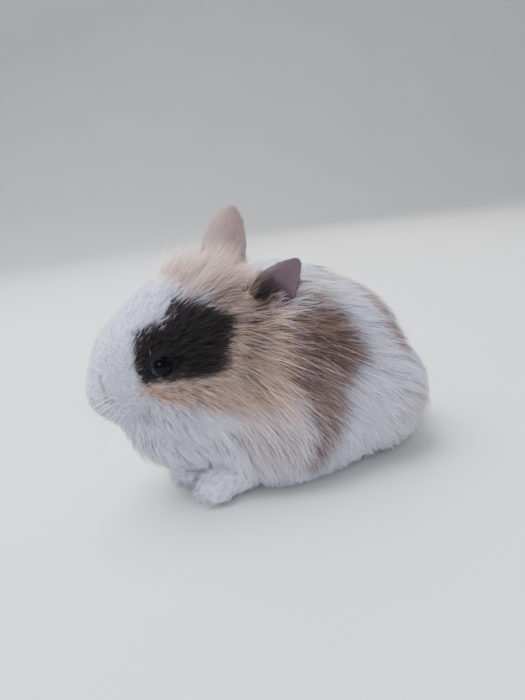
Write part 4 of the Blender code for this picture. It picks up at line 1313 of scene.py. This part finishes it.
# %% Colour and comb the skin
COMB_ACROSS, COMB_ALONG = 2.2, 0.25  # noise waves per mm across the lie and along it


def combed(points):
    """Coordinates for the down's noise: steep across the lie of the hair and gentle along it, from the
    directions seen from the nose times their distance, on the head, and from the body's sides elsewhere."""
    h = into_head(points) - NOSE_TIP
    far = np.linalg.norm(h, axis=1, keepdims=True)
    on_head = h / np.maximum(far, 1) * 30 * COMB_ACROSS + far * COMB_ALONG
    on_body = points * (COMB_ALONG, COMB_ACROSS, COMB_ACROSS)
    comb = np.where((head_share(points) > 0.5)[:, None], on_head, on_body)
    for name, on, share, across, out in on_ears(points, skin_parts):
        comb[on] = np.stack([share * 30 * COMB_ALONG, across * EARS[name][3] * COMB_ACROSS, out * 0.3], 1)
    return comb


tones = colours_of(skin_points, skin_parts)
groove = np.min([gap_to(skin_points, line, 3.0) for line in face_lines.values()], 0)
pink = soft(0.9 - groove, 1.0)[:, None] * 0.75
tones = tones + (BARE_PINK - tones) * pink
# painted shade in the creases of the nostrils' wings
wings = np.min([gap_to(skin_points, face_lines["wing_" + side], 3.0) for side in EYE_AT], 0)
tones += (CREASE_SHADE - tones) * soft(0.7 - wings, 0.7)[:, None] * 0.85
rim = around_eye(skin_points, 7.0)
tones[rim] = LID_DARK
paint(skin.data, tones)
layer = skin.data.attributes.new("combed", "FLOAT_VECTOR", "POINT")
layer.data.foreach_set("vector", combed(skin_points).astype(np.float32).ravel())
print("dark rim points:", int(rim.sum()))

# %% [markdown]
# ## Give the pieces to the model
# A dressed model shows new pieces in place of its plain solids. Every piece rides on the one body of this still
# model. The solids could stay below them, but they would show through thin hair, so the skin stands for all
# flesh nodes and each eyeball for its plain ball.

# %% Ride on the body and hide the plain solids
FLESH = ("head", "neck", "torso", *EARS, *PAWS, "tail")
dressed = [(skin, skin_look, "coat"), (whiskers, whisker_look, "coat"), (claws, claw_look, "coat")]
dressed += [(coat, hair, "ear_skin" if coat.name == "coat_ears" else "coat") for coat in coats]
dressed += [(eye, eye_look, "eye") for eye in eyes.values()]
for obj, look, slot in dressed:
    obj.data.materials.clear()
    obj.data.materials.append(look)
    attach(obj, "root")
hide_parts(*FLESH)
for side, eye in eyes.items():
    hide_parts("eye_" + side)
print("pieces:", len(dressed))

# %% [markdown]
# ## Floor, light and camera
# A pale sheet of paper that rises behind makes floor and background in one, with no edge to see. Large soft
# lights show form without hard shadows: a wide one above, a weaker one from the camera's side, and one behind to
# lift the outline. A picture wrapped round the scene would light it too, but three lamps are easier to steer.
# The camera stands close on the rabbit's left, a little above it and a little tilted.

# %% Floor
SWEEP_AT, SWEEP_BEND = 1.3, 0.9  # metres: where the paper starts to rise, and the radius of its bend
FLOOR_GAP, PAPER_HALF, PAPER_WAVES = 0.0004, 4.0, 6.0  # a hair's gap, half its width, and its waves a metre

# Matt paper: no gloss, and faint clouds a sixth of a metre wide that keep it from looking flat
floor_look, shader = new_material("matt_paper", Roughness=0.9)
clouded(floor_look, shader, PAPER_WAVES, 2.0, "#CFCFCC", "#D6D6D3")
mesh = bpy.data.meshes.new("floor")
bend = np.radians(np.linspace(0, 90, 25))
curve = zip(SWEEP_AT + SWEEP_BEND * np.sin(bend), SWEEP_BEND * (1 - np.cos(bend)))
profile = [(-PAPER_HALF, 0.0), *curve, (SWEEP_AT + SWEEP_BEND, PAPER_HALF)]
points = [(x, y, z - FLOOR_GAP) for y, z in profile for x in (-PAPER_HALF, PAPER_HALF)]
mesh.from_pydata(points, [], [(2 * i, 2 * i + 1, 2 * i + 3, 2 * i + 2) for i in range(len(profile) - 1)])
mesh.shade_smooth()
mesh.materials.append(floor_look)
floor = shown("floor", mesh)
print("paper:", len(profile), "steps")

# %% Lights
MIDDLE = Vector(((np.array((0.0, 0.0, 54.0)) + SHIFT) * MM).tolist())


def soft_light(name, place, size, power, colour):
    """A square area light that faces the middle of the rabbit."""
    lamp = bpy.data.lights.new(name, "AREA")
    lamp.size, lamp.energy, lamp.color = size, power, tuple(linear(colour))
    obj = shown(name, lamp)
    obj.location = place
    obj.rotation_mode = "QUATERNION"
    obj.rotation_quaternion = (MIDDLE - Vector(place)).to_track_quat("-Z", "Y")


soft_light("sky", (-0.35, 0.25, 1.1), 1.0, 37.0, "#F0F3FF")
soft_light("front", (-0.75, -0.95, 0.75), 0.45, 3.5, "#FFFFFF")
soft_light("behind", (0.6, 0.9, 0.7), 0.6, 5.0, "#FFFAF2")
world = bpy.data.worlds.new("studio")
world.use_nodes = True
world.node_tree.nodes["Background"].inputs["Color"].default_value = (*linear("#E6E8F0"), 1)
world.node_tree.nodes["Background"].inputs["Strength"].default_value = 0.85
bpy.context.scene.world = world
print("lights:", [lamp.name for lamp in bpy.data.lights])

# %% Camera
AZIMUTH, ELEVATION, ROLL = (math.radians(angle) for angle in (-18, 17, -7))
DISTANCE, FOCAL_PIXELS, LONG_SIDE_PIXELS, SENSOR = 250 * MM, 526, 700, 36
level = math.cos(ELEVATION)
back = Vector((math.sin(AZIMUTH) * level, -math.cos(AZIMUTH) * level, math.sin(ELEVATION)))
right = Vector((0, 0, 1)).cross(back).normalized()
up = back.cross(right)
right, up = (math.cos(ROLL) * right + math.sin(ROLL) * up, -math.sin(ROLL) * right + math.cos(ROLL) * up)
lens = bpy.data.cameras.new("camera")
lens.sensor_width, lens.lens = SENSOR, SENSOR * FOCAL_PIXELS / LONG_SIDE_PIXELS
lens.clip_start = 0.01
camera = shown("camera", lens)
facing = Matrix((right, up, back)).transposed().to_4x4()
camera.matrix_world = Matrix.Translation(MIDDLE + back * DISTANCE) @ facing
bpy.context.scene.camera = camera

# %% Measure and finish
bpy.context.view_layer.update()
loops, sides = (sum(len(getattr(obj.data, kind)) for obj, *_ in dressed) for kind in ("loops", "polygons"))
print("triangles:", loops - 2 * sides)
